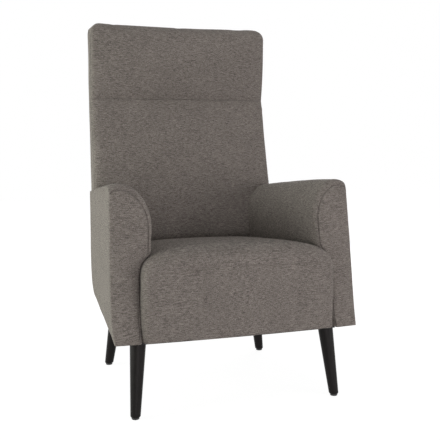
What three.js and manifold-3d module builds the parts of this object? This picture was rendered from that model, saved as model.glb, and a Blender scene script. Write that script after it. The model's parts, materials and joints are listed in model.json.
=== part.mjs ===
// A high-backed fireside chair: a timber frame with a sprung seat, foam, sewn covers
// and four splayed turned legs. Millimetres, +Z up, the chair faces -Y.
// Left and right are the sitter's: the left side is +X.
import * as THREE from "three";
import { mergeVertices } from "three/addons/utils/BufferGeometryUtils.js";
import Module from "manifold-3d";

const wasm = await Module();
wasm.setup();

// Sizes

const clear = 0.3; // between pieces that touch
const overrun = 60; // how far a cutter runs past what it cuts

// The upholstered body. In plan it narrows towards the back, with flat sides.
// u runs inwards from a side, v rearwards along it and w up from the underside.
const body = {
  width: 715, // across the sides at the front
  depth: 648, // front of an arm to the outer back, along the underside
  floorGap: 209, // floor to the underside
  sideTurn: 59, // each side comes in by this towards the rear
  tuck: 8, // the sides draw in at the underside by this
  tuckHeight: 32, // and are nearly straight above this
};
const cloth = { thickness: 1.5, backGap: 1.5, seam: 0.3 };

const arm = {
  height: 417, // ridge above the underside, at the front
  ridgeFall: 61, // and falls by this to the rear
  ridgeBow: 1.35, // the power of its fall: nearly level at the front
  edgeHeight: 403, // top of the outside cover, at the front
  edgeFall: 49, // and falls by this
  ridgeIn: 33, // the ridge's distance from the side
  width: 116, // across the pad at its widest, at the front
  narrowing: 21, // and narrower by this at the rear
  overSeat: 37, // it reaches inwards past the seat's side by this
  archHeight: 119, // ridge down to the widest place
  edgeLean: 4, // the outside leans in by this at its top, at the front
  rake: 51.9, // the front leans back by this at the ridge
  toe: 18, // and its foot comes forward by this
  toeHeight: 40,
  frontRadius: 12, // rounded edge of the pad's front
  topRadius: 24, // and over its top
  sideRadius: 4, // tighter edge at the outside
  faceCrown: 4,
  seamInset: 10, // the facing's seam inside the arch
  backReach: 10, // the pad runs beside the back by this
};

const seat = {
  height: 245, // crown above the underside, at the front
  fall: 46, // and falls by this to the back's seam
  armGap: 4,
  shoulder: 98, // crown down to where the sides are straight
  frontSquare: 4, // the power of its section: the larger, the squarer
  rearSquare: 5, // and the power behind squareRun
  squareRun: 300,
  frontOut: 12, // in front of the arms at its corners
  frontCrown: 12,
  topRadius: 46, // rounded front edge
  sideRadius: 20,
  bottomRadius: 6,
  sideLap: 16, // under the deck its sides run behind the arms' front by this
};

const back = {
  height: 904, // above the underside, at the corners
  topDip: 6, // lower than that in the middle
  foot: 124, // underside of the back's foam and front cover
  seamHeight: 661, // the seam under the headrest
  thickness: 96, // front face to rear face at the seam
  lean: 122.5, // the front face's foot stands forward of the seam by this
  crown: 16, // front face proud in the middle
  headForward: 18, // the headrest comes forward by this at its top
  headCrown: 8,
  seamDepth: 5,
  seamReach: 9,
  heel: 28, // the rear face swings out by this above the underside
  heelHeight: 40,
  topBack: 26, // and stands further back by this at the top
  frontRadius: 14,
  rearRadius: 8,
  topFrontRadius: 34,
  topSideRadius: 26,
  topRearRadius: 10,
  rearCrown: 4,
  sideSeam: 15, // seam between the front panels and the side borders
  borderTop: 30, // the side borders end this far below the top
  rearWrap: 9, // the outer cover wraps forward by this
};

// The timber frame
const post = { deep: 50, thick: 25, sideIn: 16, rearIn: 5, kneeHeight: 100, top: 38 };
const rail = {
  deep: 22,
  frontBack: 8, // the front rail's face behind the front of the arms
  bottom: 4,
  top: 100,
  endGap: 16, // its ends to the seat's sides
};
const sideRail = { from: 14, to: 39, top: 100 };
const corner = { from: 12, to: 132, deep: 95, bottom: 4, top: 42 };
const armBoard = { inset: 14, front: 12, thick: 18 };
const armRail = { from: 14, to: 60, below: 26, thick: 20, foamTo: 48 };
const backRail = { thick: 22, heights: [[128, 168], [636, 686], [826, 862]] };

// A leg's top and foot, in from the body's side and from its front or rear.
const leg = { topRadius: 21, footRadius: 13, chamfer: 2, chamferHeight: 4, boreDeep: 38 };
const frontLeg = { topSideIn: 76, topIn: 56, footSideIn: 62, footIn: 24 };
const rearLeg = { topSideIn: 72.3, topIn: 122, footSideIn: 42, footIn: 107 };
const bolt = { radius: 4, inLeg: 36, topGap: 4 };
const glide = { radius: 10.5, height: 5, edge: 1.2, pinRadius: 1.6, pinLength: 12 };

const spring = {
  count: 4,
  inset: 46, // the outer springs' middles, in from the seat's sides at the rear
  wire: 1.9,
  bars: 13,
  halfWidth: 27,
  bow: 12, // the middle stands above the ends by this
  lift: 4, // wire's centre above the rails
  clipWidth: 18,
  clipDeep: 14,
  clipHeight: 8,
};
const felt = { thick: 4, inset: 1, frontIn: 40, rearIn: 14 };
const web = { width: 58, thick: 1.6, heights: [205, 275, 385, 470, 555], sideIn: 18 };
const dust = { thick: 1.2, lift: 0.5, sideIn: 17, rearIn: 5, legClear: 3 };
const foamFoot = 2; // foam ends this far above the underside

// Surfaces, solids and geometry

// A surface of numbered points. Every face is turned the same way.
class Skin {
  points = [];
  faces = [];

  take(points) {
    return points.map((q) => this.points.push(q.clone()) - 1);
  }

  band(loop, next) {
    loop.forEach((a, i) => {
      const j = (i + 1) % loop.length;
      this.faces.push([a, loop[j], next[j]], [a, next[j], next[i]]);
    });
  }

  fan(loop) {
    const sum = loop.reduce((total, i) => total.add(this.points[i]), new THREE.Vector3());
    const [tip] = this.take([sum.divideScalar(loop.length)]);
    loop.forEach((a, i) => this.faces.push([a, tip, loop[(i + 1) % loop.length]]));
  }

  // Fills between two chains that run the same way, by the lesser next key.
  zip(one, two, key) {
    let [i, j] = [0, 0];
    const next = (chain, k) => (k + 1 < chain.length ? key(this.points[chain[k + 1]]) : Infinity);
    while (i + 1 < one.length || j + 1 < two.length) {
      const first = next(one, i) <= next(two, j);
      const face = [one[i], two[j], first ? one[i + 1] : two[j + 1]];
      if (new Set(face).size === 3) this.faces.push(face);
      if (first) i += 1;
      else j += 1;
    }
  }

  // The surface moved inwards by a distance, point by point.
  drawn(distance) {
    const turn = Math.sign(volumeOf(this.points, this.faces.flat()));
    const normals = this.points.map(() => new THREE.Vector3());
    for (const face of this.faces) {
      const [a, b, c] = face.map((i) => this.points[i]);
      const normal = new THREE.Triangle(a, b, c).getNormal(new THREE.Vector3());
      face.forEach((i, k) => {
        const to = (n) => this.points[face[(k + n) % 3]].clone().sub(this.points[i]);
        normals[i].addScaledVector(normal, to(1).angleTo(to(2)));
      });
    }
    const moved = this.points.map((q, i) =>
      q.clone().addScaledVector(normals[i].normalize(), -turn * distance),
    );
    return outward(moved, this.faces.flat());
  }

  solid() {
    return outward(this.points, this.faces.flat());
  }
}

// Six times the volume inside, less than zero if the faces are turned inwards.
function volumeOf(points, index) {
  let total = 0;
  for (let i = 0; i < index.length; i += 3) {
    const [a, b, c] = [0, 1, 2].map((k) => points[index[i + k]]);
    total += a.dot(b.clone().cross(c));
  }
  return total;
}

// A solid from shared points, with its faces turned outwards.
function outward(points, index) {
  const faces = Uint32Array.from(index);
  if (volumeOf(points, index) < 0) faces.reverse();
  return new wasm.Manifold(
    new wasm.Mesh({
      numProp: 3,
      vertProperties: Float32Array.from(points.flatMap((q) => q.toArray())),
      triVerts: faces,
    }),
  );
}

function geometryOf(solid) {
  const { vertProperties, triVerts } = solid.getMesh();
  const indexed = new THREE.BufferGeometry()
    .setAttribute("position", new THREE.BufferAttribute(vertProperties, 3))
    .setIndex(new THREE.BufferAttribute(triVerts, 1));
  const flat = indexed.toNonIndexed();
  flat.computeVertexNormals();
  return flat;
}

// A closed surface through rings of equally many points, with a fan at each end.
function loft(rings) {
  const skin = new Skin();
  const loops = rings.map((ring) => skin.take(ring));
  loops.slice(1).forEach((loop, i) => skin.band(loops[i], loop));
  skin.fan(loops[0]);
  skin.fan(loops.at(-1).reverse());
  return skin.solid();
}

// A box between two corners, with each point moved by place(x, y, z).
function box(low, high, place, steps = [1, 1, 1]) {
  const size = high.map((h, i) => h - low[i]);
  const geometry = new THREE.BoxGeometry(...size, ...steps);
  geometry.translate(...low.map((l, i) => l + size[i] / 2));
  const bare = mergeVertices(geometry.deleteAttribute("normal").deleteAttribute("uv"));
  const { array, count } = bare.attributes.position;
  const points = Array.from({ length: count }, (_, i) => place(...array.slice(3 * i, 3 * i + 3)));
  return outward(points, bare.index.array);
}

// A bar through circles of given centres and radii, square to the way from end to end.
function bar(stations, sides, axis) {
  const along = axis ?? new THREE.Vector3().subVectors(stations.at(-1).at, stations[0].at);
  const turn = new THREE.Quaternion().setFromUnitVectors(
    new THREE.Vector3(0, 0, 1),
    along.normalize(),
  );
  const ring = ({ at, radius }) =>
    Array.from({ length: sides }, (_, i) => {
      const angle = (2 * Math.PI * (i + 0.5)) / sides;
      const q = new THREE.Vector3(radius * Math.cos(angle), radius * Math.sin(angle), 0);
      return q.applyQuaternion(turn).add(at);
    });
  return loft(stations.map(ring));
}

// Points of a closed outline, each moved inwards by its own distance.
function inwards(outline, distance) {
  const area = outline.reduce((sum, a, i) => {
    const b = outline[(i + 1) % outline.length];
    return sum + a.x * b.y - b.x * a.y;
  }, 0);
  return outline.map((q, i) => {
    const before = outline.at(i - 1);
    const after = outline[(i + 1) % outline.length];
    const along = new THREE.Vector2().subVectors(after, before).normalize();
    const inward = new THREE.Vector2(-along.y, along.x).multiplyScalar(Math.sign(area));
    return inward.multiplyScalar(distance(q, i)).add(q);
  });
}

const joined = (solids) => solids.reduce((sum, s) => sum.add(s));
const without = (solid, cutters) => cutters.reduce((left, c) => left.subtract(c), solid);
const mix = THREE.MathUtils.lerp;
const clamp = THREE.MathUtils.clamp;
const smooth = (x) => THREE.MathUtils.smoothstep(x, 0, 1);
const quarter = (share) => (share * Math.PI) / 2;

// A curve drawn straight between knots.
function between(knots, curve, x) {
  const i = clamp(knots.findIndex((k) => k >= x), 1, knots.length - 1);
  const last = x > knots.at(-1) ? knots.length - 1 : i;
  const [a, b] = [knots[last - 1], knots[last]];
  return mix(curve(a), curve(b), clamp((x - a) / (b - a), 0, 1));
}

// Faces that several pieces share

const taper = Math.atan2(body.sideTurn, body.depth);
const sine = Math.sin(taper);
const cosine = Math.cos(taper);
const seatSideIn = arm.width - arm.overSeat; // the seat's side, in from the body's side

// A place given along the left side.
function atSide(u, v, w) {
  return new THREE.Vector3(
    body.width / 2 - u * cosine - v * sine,
    v * cosine - u * sine,
    body.floorGap + w,
  );
}

const upright = (x, y, w) => new THREE.Vector3(x, y, body.floorGap + w);

// Half the body's width at a depth, less a distance in from the side.
const halfWidth = (y, inFromSide) =>
  body.width / 2 - y * Math.tan(taper) - inFromSide / cosine;

const tuckAt = (w) => body.tuck * Math.exp(-Math.max(w, 0) / body.tuckHeight);
const leanAt = (w) => (arm.rake * w) / arm.height;
const rakeAt = (w) => leanAt(w) + arm.toe * (1 - Math.exp(-Math.max(w, 0) / arm.toeHeight));

// The rear face is straight between these levels, shares of the back's height.
const rearShares = [0, 0.03, 0.07, 0.12, 0.3, 0.5, 0.7, 1];
const rearLevels = rearShares.map((share) => share * back.height);
const rearCurve = (w) =>
  body.depth +
  back.heel * (1 - Math.exp(-w / back.heelHeight)) +
  back.topBack * (w / back.height);
const rearAt = (w) => between(rearLevels, rearCurve, w);
const levels = (low, high) => [low, ...rearLevels.filter((w) => w > low && w < high), high];
const armLength = rearCurve(back.height) / cosine; // before it is cut to the back
const ridgeAt = (v) =>
  arm.height - arm.ridgeFall * (Math.max(v, 0) / armLength) ** arm.ridgeBow;
const edgeAt = (v) => arm.edgeHeight - (arm.edgeFall * v) / armLength;
const widthAt = (v) => arm.width - (arm.narrowing * v) / armLength;
const seamFront = rearCurve(back.seamHeight) - back.thickness;
const seatTopAt = (y) => seat.height - (seat.fall * y) / seamFront;
const squareAt = (y) => mix(seat.frontSquare, seat.rearSquare, smooth(y / seat.squareRun));
const postRearAt = (w) => rearAt(w) - post.rearIn;
const postFrontAt = (w) => rearAt(Math.max(w, post.kneeHeight)) - post.rearIn - post.deep;

// The back's front face at its edges: a lean, then the headrest.
function faceAt(w) {
  const up = (w - back.seamHeight) / (back.height - back.seamHeight);
  return w < back.seamHeight
    ? seamFront - (back.lean * (back.seamHeight - w)) / (back.seamHeight - back.foot)
    : seamFront - back.headForward * Math.sin(quarter(Math.min(1.3 * up, 1)));
}

// The same with the groove at the seam.
const frontAt = (w) =>
  faceAt(w) + back.seamDepth * Math.exp(-(((w - back.seamHeight) / back.seamReach) ** 2));

function crownAt(w) {
  const up = clamp((w - back.seamHeight) / (back.height - back.seamHeight), 0, 1);
  const down = clamp((back.seamHeight - w) / back.seamHeight, 0, 1);
  const head = back.headCrown * Math.sin(Math.PI * up);
  return head + mix(back.headCrown, back.crown, smooth(4 * down));
}

// Straight members, given by distances in from a side, by faces and by heights

const at = (face, w) => (typeof face === "function" ? face(w) : face);

// Heights are two or more levels, from the lowest up.
function stacked(heights, place) {
  const steps = heights.length - 1;
  const level = (share) => heights[Math.round(share * steps)];
  return box([0, 0, 0], [1, 1, 1], (s, t, k) => place(s, t, level(k)), [1, 1, steps]);
}

function member(insides, faces, heights) {
  return stacked(heights, (share, along, w) => {
    const y = mix(at(faces[0], w), at(faces[1], w), along);
    return upright(halfWidth(y, mix(...insides, share)), y, w);
  });
}

function across(inside, faces, heights) {
  return stacked(heights, (share, along, w) => {
    const y = mix(at(faces[0], w), at(faces[1], w), along);
    return upright((2 * share - 1) * halfWidth(y, inside), y, w);
  });
}

const offset = (face, by) => (w) => face(w) + by;
const mirrored = (solid) => solid.mirror([1, 0, 0]);

// The arm pad: rings round its section, from front to rear

const archSteps = 7;
const creaseShares = [1, 0.93, 0.84, 0.72, 0.55, 0]; // from the bulge down to the foot
const footShares = [0.5, 0.2, 0];
const armShares = [0.2, 0.45, 0.72, 1]; // along the arm
const stripShares = [0.06, 0.14, 0.26, 0.52, 0.78, 1]; // up its outside
const forward = (v) => clamp(1 - v / armLength, 0, 1);

// The outside's distance in from the side at a height.
function outsideAt(w, v) {
  const edge = edgeAt(v);
  const side = tuckAt(w) + arm.edgeLean * forward(v) * clamp(w / edge, 0, 1) ** 2;
  if (w <= edge) return side;
  const rise = Math.min((w - edge) / (ridgeAt(v) - edge), 1);
  return mix(arm.ridgeIn, side, Math.sqrt(1 - rise ** 2));
}

// The inside, from the ridge down over the arch and under the bulge to the foot.
function insideOf(v) {
  const width = widthAt(v);
  const [high, across] = [arm.archHeight, width - arm.ridgeIn];
  const centre = ridgeAt(v) - high;
  const arch = new THREE.EllipseCurve(arm.ridgeIn, centre, across, high, quarter(1), 0, true);
  return [...arch.getPoints(archSteps), ...underPad(v, width)];
}

// Where the arm's inside follows the seat's edge, a gap away from it.
function underPad(v, width) {
  const y = v + rakeAt(seat.height) * forward(v) - seat.topRadius;
  const half = halfWidth(y, seatSideIn);
  const foot = seatSideIn - seat.armGap;
  const reach = (width - foot - seat.armGap) / half;
  const square = squareAt(y);
  const crease = (1 - (1 - reach) ** square) ** (1 / square);
  const start = seatTopAt(y) - seat.shoulder;
  const curve = creaseShares.map((share) => {
    const rise = crease * share;
    const under = half * (1 - (1 - rise ** square) ** (1 / square));
    return new THREE.Vector2(foot + under, start + seat.shoulder * rise);
  });
  const straight = [...footShares.map((share) => share * start), -overrun];
  return [...curve, ...straight.map((w) => new THREE.Vector2(foot, w))];
}

// The closed outline: up the outside to the ridge and down the inside.
function armOutline(v) {
  const inside = insideOf(v);
  const outside = inside.slice(1).map(({ y }) => new THREE.Vector2(outsideAt(y, v), y));
  return [...outside.reverse(), ...inside];
}

const armPlace = ({ u, v, w }) => atSide(u, v + rakeAt(w) * forward(v), w);

// One ring. Round goes from 0 on the face to 1 behind its rounded edge.
function armRing(v, round) {
  const outline = armOutline(v);
  const half = (outline.length - 1) / 2;
  const width = widthAt(v);
  const sunk = 1 - Math.sin(quarter(round));
  return outline.map((q, i) => {
    const top = smooth((2 * q.y) / ridgeAt(v) - 1) ** 2;
    const radius = mix(i < half ? arm.sideRadius : arm.frontRadius, arm.topRadius, top);
    const aside = mix(arm.sideRadius, -arm.frontRadius, clamp(q.x / width, 0, 1));
    return {
      u: q.x + aside * sunk,
      v: v + radius * (1 - Math.cos(quarter(round))),
      w: q.y - arm.topRadius * top * sunk,
    };
  });
}

function armSkin() {
  const skin = new Skin();
  const rounds = [0, 0.5, 1].map((round) => armRing(0, round));
  const runs = armShares.map((share) => armRing(share * armLength, 1));
  const tail = runs.at(-1).map((q) => ({ ...q, v: q.v + overrun }));
  const loops = [...rounds, ...runs, tail].map((ring) => skin.take(ring.map(armPlace)));
  loops.slice(1).forEach((loop, i) => skin.band(loops[i], loop));
  skin.fan(loops.at(-1).reverse());
  const face = rounds[0];
  const half = (face.length - 1) / 2;
  const crowned = Array.from({ length: half - 1 }, (_, i) => {
    const [one, other] = [face[i + 1], face[face.length - 2 - i]];
    const proud = arm.faceCrown * Math.sin(quarter((2 * (i + 1)) / half));
    const mean = (key) => (one[key] + other[key]) / 2;
    return { u: mean("u"), v: mean("v") - proud, w: mean("w") };
  });
  const mid = skin.take(crowned.map(armPlace));
  const outside = loops[0].slice(0, half + 1);
  const inside = loops[0].slice(half).reverse();
  const height = (q) => q.z;
  const middle = [...mid, outside[half]];
  skin.zip(outside, middle, height);
  skin.zip(middle, inside, height);
  skin.faces.push([outside[0], inside[0], mid[0]]);
  return skin;
}

// Everything outside the arm's top edge seam and the facing's outer seam.
function armStrip(gap) {
  const ring = (v) => {
    const top = edgeAt(v) + gap;
    const heights = [-overrun, 0, ...stripShares.map((share) => share * top)];
    const inner = heights.map((w) => ({ u: outsideAt(w, v) + arm.sideRadius + gap, v, w }));
    const outer = heights.map((w) => ({ u: -overrun, v, w }));
    return [...outer, ...inner.reverse()];
  };
  const front = ring(0).map((q) => ({ ...q, v: -overrun }));
  const runs = [0, ...armShares].map((share) => ring(share * armLength));
  return loft([front, ...runs].map((r) => r.map(armPlace)));
}

// The facing's part of the front, inside its seam.
function facingCutter(gap) {
  const outline = armOutline(0);
  const half = (outline.length - 1) / 2;
  const isLow = (q, i) => i < half && q.y < arm.edgeHeight;
  const shape = inwards(outline, (q, i) => (isLow(q, i) ? 0 : arm.seamInset) - gap);
  const ring = (v) =>
    shape.map((q, i) => armPlace({ u: q.x, v, w: outline[i].y < 0 ? outline[i].y : q.y }));
  return loft([ring(-overrun), ring(armBoard.front)]);
}

// The seat: rings round its section, from front to rear

const seatShares = [0.18, 0.45, 0.75, 1]; // along the seat
const noseShares = [0, 0.35, 0.7, 1]; // round its front edge
const faceShares = [0.9, 0.68, 0.35, 0, -0.35, -0.68, -0.9]; // across its front
const crownShares = [0, 0.06, 0.15, 0.28, 0.45, 0.65, 0.83, 1]; // round its section

function seatOutline(y) {
  const start = seatTopAt(y) - seat.shoulder;
  const half = halfWidth(y, seatSideIn);
  const power = 2 / squareAt(y);
  const point = (x, w, share) => Object.assign(new THREE.Vector2(x, w), { share });
  const side = [-overrun, 0, start / 2].map((w) => point(half, w, w > 0 ? 0 : -1));
  const top = crownShares.map((share) => {
    const across = Math.cos(quarter(share)) ** power;
    const up = Math.sin(quarter(share)) ** power;
    return point(half * across, start + seat.shoulder * up, share);
  });
  const right = [...side, ...top];
  const left = right
    .slice(0, -1)
    .reverse()
    .map((q) => point(-q.x, q.y, q.share));
  return [...right, ...left];
}

function seatEdge({ share }) {
  if (share < 0) return seat.bottomRadius;
  return mix(seat.sideRadius, seat.topRadius, smooth(2 * share));
}

function seatRing(y, round) {
  const outline = seatOutline(y);
  const moved = inwards(outline, (q) => seatEdge(q) * (1 - Math.sin(quarter(round))));
  return moved.map((q, i) => {
    const from = outline[i];
    const depth = y + seatEdge(from) * (1 - Math.cos(quarter(round)));
    return new THREE.Vector3(q.x, depth, from.share < 0 ? from.y : q.y);
  });
}

// How far the seat's front stands out in its middle.
function frontCrown(q) {
  const across = q.x / halfWidth(0, seatSideIn);
  const up = clamp((2 * q.z) / seat.height - 1, -0.8, 1);
  const near = 1 - smooth((q.y + seat.frontOut) / (2 * seat.topRadius));
  return seat.frontCrown * (1 - across ** 2) * (1 - up ** 4) * near;
}

const seatPlace = (q) => upright(q.x, q.y - frontCrown(q), q.z);

function seatSkin() {
  const skin = new Skin();
  const rounds = noseShares.map((share) => seatRing(-seat.frontOut, share));
  const runs = seatShares.map((share) => seatRing(share * seamFront, 1));
  const loops = [...rounds, ...runs].map((ring) => skin.take(ring.map(seatPlace)));
  loops.slice(1).forEach((loop, i) => skin.band(loops[i], loop));
  skin.fan(loops.at(-1).reverse());
  const face = rounds[0];
  const last = face.length - 1;
  const rows = [0, 1, 2, 3].map((k) => {
    const [right, left] = [loops[0][k], loops[0][last - k]];
    if (k === 0) return [left, right];
    const at = (share) => new THREE.Vector3(face[k].x * share, face[k].y, face[k].z);
    const row = faceShares.map(at);
    return [left, ...skin.take(row.map(seatPlace)).reverse(), right];
  });
  const top = loops[0].slice(3, last - 2).reverse();
  [...rows, top].slice(1).forEach((row, k) => skin.zip(rows[k], row, (q) => q.x));
  return skin;
}

// The back: rings round its plan, from the underside up

const grooveShares = [-1.2, -0.5, 0, 0.5, 1.2]; // of the groove's reach, about the seam
const headShares = [0.07, 0.2, 0.42, 0.66]; // up the headrest
const topShares = [0, 0.4, 0.75, 1]; // round its top edge

// One side of the plan, from the middle of the front to the middle of the rear.
const planPoints = [
  ...[0, 0.25, 0.5, 0.75, 0.92].map((share) => ({ face: "front", share })),
  ...[0, 0.33, 0.67, 1].map((share) => ({ face: "frontCorner", share })),
  ...[0, 0.5, 1].map((share) => ({ face: "rearCorner", share })),
  ...[0.75, 0.4, 0].map((share) => ({ face: "rear", share })),
];

function planPoint({ face, share }, w) {
  const sideIn = cloth.thickness + cloth.backGap + tuckAt(w);
  const [front, rear] = [frontAt(w), rearAt(w)];
  const frontX = halfWidth(front + back.frontRadius, sideIn) - back.frontRadius;
  const rearX = halfWidth(rear - back.rearRadius, sideIn) - back.rearRadius;
  const across = Math.sin(quarter(share));
  const along = Math.cos(quarter(share));
  switch (face) {
    case "front":
      return [frontX * share, front - crownAt(w) * (1 - share ** 2)];
    case "frontCorner":
      return [frontX + back.frontRadius * across, front + back.frontRadius * (1 - along)];
    case "rearCorner":
      return [rearX + back.rearRadius * along, rear - back.rearRadius * (1 - across)];
    default:
      return [rearX * share, rear + back.rearCrown * (1 - share ** 2)];
  }
}

function topRadius({ face, share }) {
  if (face === "front") return back.topFrontRadius;
  if (face === "frontCorner") return mix(back.topFrontRadius, back.topSideRadius, share);
  if (face === "rearCorner") return mix(back.topSideRadius, back.topRearRadius, share);
  return back.topRearRadius;
}

function planRing(point) {
  const one = planPoints.map((p) => point(p, 1));
  const other = planPoints
    .slice(1, -1)
    .reverse()
    .map((p) => point(p, -1));
  return [...one, ...other];
}

function backRing(w) {
  return planRing((p, side) => {
    const [x, y] = planPoint(p, w);
    return new THREE.Vector3(side * x, y, w);
  });
}

// A ring round the top edge. Round goes from 0 below the edge to 1 on top of it.
function topRing(round) {
  const half = halfWidth(frontAt(back.height), 0);
  const sunk = 1 - Math.cos(quarter(round));
  return planRing((p, side) => {
    const dip = back.topDip * (1 - (planPoint(p, back.height)[0] / half) ** 2);
    const w = back.height - dip - topRadius(p) * (1 - Math.sin(quarter(round)));
    const [x, y] = planPoint(p, w);
    const rearward = clamp((y - frontAt(w)) / (rearAt(w) - frontAt(w)), 0, 1);
    const inset = mix(back.topFrontRadius, -back.topRearRadius, rearward) * sunk;
    return new THREE.Vector3(side * x * (1 - (back.topSideRadius * sunk) / half), y + inset, w);
  });
}

function backSkin() {
  const skin = new Skin();
  const lower = rearLevels.slice(1, -1);
  const groove = grooveShares.map((share) => back.seamHeight + share * back.seamReach);
  const head = headShares.map((share) => mix(back.seamHeight, back.height, share));
  const heights = [-overrun, 0, ...lower.filter((w) => w < groove[0]), ...groove, ...head];
  const rings = [...heights.map(backRing), ...topShares.map(topRing)];
  const loops = rings.map((ring) => skin.take(ring.map((q) => upright(q.x, q.y, q.z))));
  loops.slice(1).forEach((loop, i) => skin.band(loops[i], loop));
  skin.fan(loops[0]);
  const top = loops.at(-1);
  const count = top.length;
  const side = planPoints.findIndex(({ face }) => face === "rearCorner");
  const front = Array.from({ length: 2 * side + 1 }, (_, i) => top[(i - side + count) % count]);
  const rear = top.slice(side, count - side + 1).reverse();
  skin.zip(rear, front, (q) => q.x);
  return skin;
}

const wide = body.width;
const behind = body.depth * 2;
const skins = { arm: armSkin(), seat: seatSkin(), back: backSkin() };
const room = cloth.thickness + clear;
const below = across(-wide, [-body.depth, behind], [-wide, 0]);
const layers = (skin) => [
  skin.solid().subtract(below),
  skin.drawn(cloth.thickness),
  skin.drawn(room).intersect(skin.drawn(cloth.thickness + clear / 2)),
];
const arms = layers(skins.arm);
const seats = layers(skins.seat);
const backs = layers(skins.back);
const backRoom = skins.back.drawn(-clear);
const seatRoom = skins.seat.drawn(-clear);

// The seat's deck: the springs' bow and the felt over it

const railRear = postFrontAt(0) - clear;
const frontBlockFront = rail.frontBack + rail.deep + clear;
const rearBlockFront = railRear - rail.deep - clear - corner.deep;
const deckFront = rail.frontBack + rail.deep / 2;
const deckRear = railRear - rail.deep / 2;

const deckKnots = [0, 1, 2, 3, 4, 5, 6, 7, 8].map((i) => mix(deckFront, deckRear, i / 8));

function deckCurve(y) {
  const share = (y - deckFront) / (deckRear - deckFront);
  return rail.top + spring.lift + spring.bow * (1 - (2 * share - 1) ** 2);
}

const deckAt = (y) => between(deckKnots, deckCurve, y);

// A sheet following the deck, between two heights above the wire's centre.
function deckSheet(half, yFrom, yTo, low, high) {
  const depths = [yFrom, ...deckKnots.filter((y) => y > yFrom && y < yTo), yTo];
  const place = (side, level, y) =>
    upright((2 * side - 1) * half, y, deckAt(y) + mix(high, low, level));
  return stacked(depths, place);
}

const feltBottom = spring.wire + clear;
const foamOnDeck = feltBottom + felt.thick + clear;
const lipRear = rail.frontBack - clear;
const railEndIn = seatSideIn + rail.endGap;
const lapRear = rakeAt(rail.top) + seat.sideLap;
const belowDeck = (half, from) => deckSheet(half, from, behind, -body.width, foamOnDeck);
const seatFrameRoom = [
  belowDeck(halfWidth(rail.frontBack, railEndIn) + clear, lipRear),
  belowDeck(wide, lapRear),
  across(-wide, [frontBlockFront - clear, behind], [-2 * overrun, corner.top + clear]),
];

// The pieces

const seatCover = without(seats[0], [seats[1], backRoom, ...seatFrameRoom]);
const footSlab = across(-overrun, [-overrun, behind], [-2 * overrun, foamFoot]);
const seatFoam = without(seats[2], [backRoom, ...seatFrameRoom, footSlab]);

function legAxis(place) {
  const depth = (inwards) => (place === rearLeg ? body.depth - inwards : inwards);
  const [topY, footY] = [depth(place.topIn), depth(place.footIn)];
  const top = upright(halfWidth(topY, place.topSideIn), topY, corner.bottom - clear);
  const foot = upright(halfWidth(footY, place.footSideIn), footY, 0).setZ(glide.height + clear);
  return { top, foot, along: new THREE.Vector3().subVectors(top, foot).normalize() };
}

const boltHole = (place, radius, from, to) => {
  const { top, along } = legAxis(place);
  const station = (reach) => ({ at: along.clone().multiplyScalar(reach).add(top), radius });
  return bar([station(from), station(to)], 12);
};

const glidePin = (place, radius, length) => {
  const { foot } = legAxis(place);
  const station = (reach) => ({ at: foot.clone().setZ(foot.z + reach), radius });
  return bar([station(-clear), station(length)], 8);
};

// A straight taper with a horizontal top and foot.
function turnedLeg(place) {
  const { top, foot } = legAxis(place);
  const length = top.z - foot.z;
  const station = (share, radius) => ({ at: foot.clone().lerp(top, share), radius });
  const chamfer = leg.chamferHeight / length;
  const stations = [
    station(0, leg.footRadius - leg.chamfer),
    station(chamfer, mix(leg.footRadius, leg.topRadius, chamfer)),
    station(1, leg.topRadius),
  ];
  const stock = bar(stations, 28, new THREE.Vector3(0, 0, 1));
  return without(stock, [
    boltHole(place, bolt.radius + clear, -leg.boreDeep, overrun),
    glidePin(place, glide.pinRadius + clear, glide.pinLength),
  ]);
}

const boltTop = corner.top - corner.bottom - bolt.topGap;
const hangerBolt = (place) => boltHole(place, bolt.radius, -bolt.inLeg, boltTop);

function footGlide(place) {
  const { foot } = legAxis(place);
  const station = (z, radius) => ({ at: foot.clone().setZ(z), radius });
  const disc = bar(
    [
      station(0, glide.radius - glide.edge),
      station(glide.edge, glide.radius),
      station(glide.height, glide.radius),
    ],
    18,
  );
  return disc.add(glidePin(place, glide.pinRadius, glide.pinLength - clear));
}

function cornerBlock(front, place) {
  const stock = member(
    [corner.from, corner.to],
    [front, front + corner.deep],
    [corner.bottom, corner.top],
  );
  return stock.subtract(boltHole(place, bolt.radius + clear, -overrun, overrun));
}

// The arm's own pieces

const boardFaceAt = (w) => armBoard.front + arm.toe + leanAt(w);
const railTopAt = (v) => ridgeAt(v) - armRail.below;

function armFrontBoard(gap) {
  const full = armOutline(0);
  const widest = (full.length - 1) / 2 + archSteps;
  const plain = full.filter((q, i) => i <= widest || i > widest + 4);
  const outline = inwards(plain, () => armBoard.inset - gap);
  const low = corner.top + clear - gap;
  const shape = outline.filter((q) => q.y > low);
  const feet = [shape.at(-1).x, shape[0].x].map((x) => new THREE.Vector2(x, low));
  const ring = (v) =>
    [...shape, ...feet].map((q) => atSide(q.x, v + arm.toe + leanAt(q.y), q.y));
  return loft([ring(armBoard.front - gap), ring(armBoard.front + armBoard.thick + gap)]);
}

function armTopRail(gap) {
  const ring = (v, top, bottom) => [
    atSide(armRail.from - gap, v(bottom), bottom - gap),
    atSide(armRail.to + gap, v(bottom), bottom - gap),
    atSide(armRail.to + gap, v(top), top + gap),
    atSide(armRail.from - gap, v(top), top + gap),
  ];
  const top = railTopAt(0);
  const front = (w) => boardFaceAt(w) + armBoard.thick + clear - gap;
  const rearV = (postFrontAt(railTopAt(body.depth)) - clear + gap) / cosine;
  const low = railTopAt(rearV);
  return loft([
    ring(front, top, top - armRail.thick),
    ring(() => rearV, low, low - armRail.thick),
  ]);
}

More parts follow.
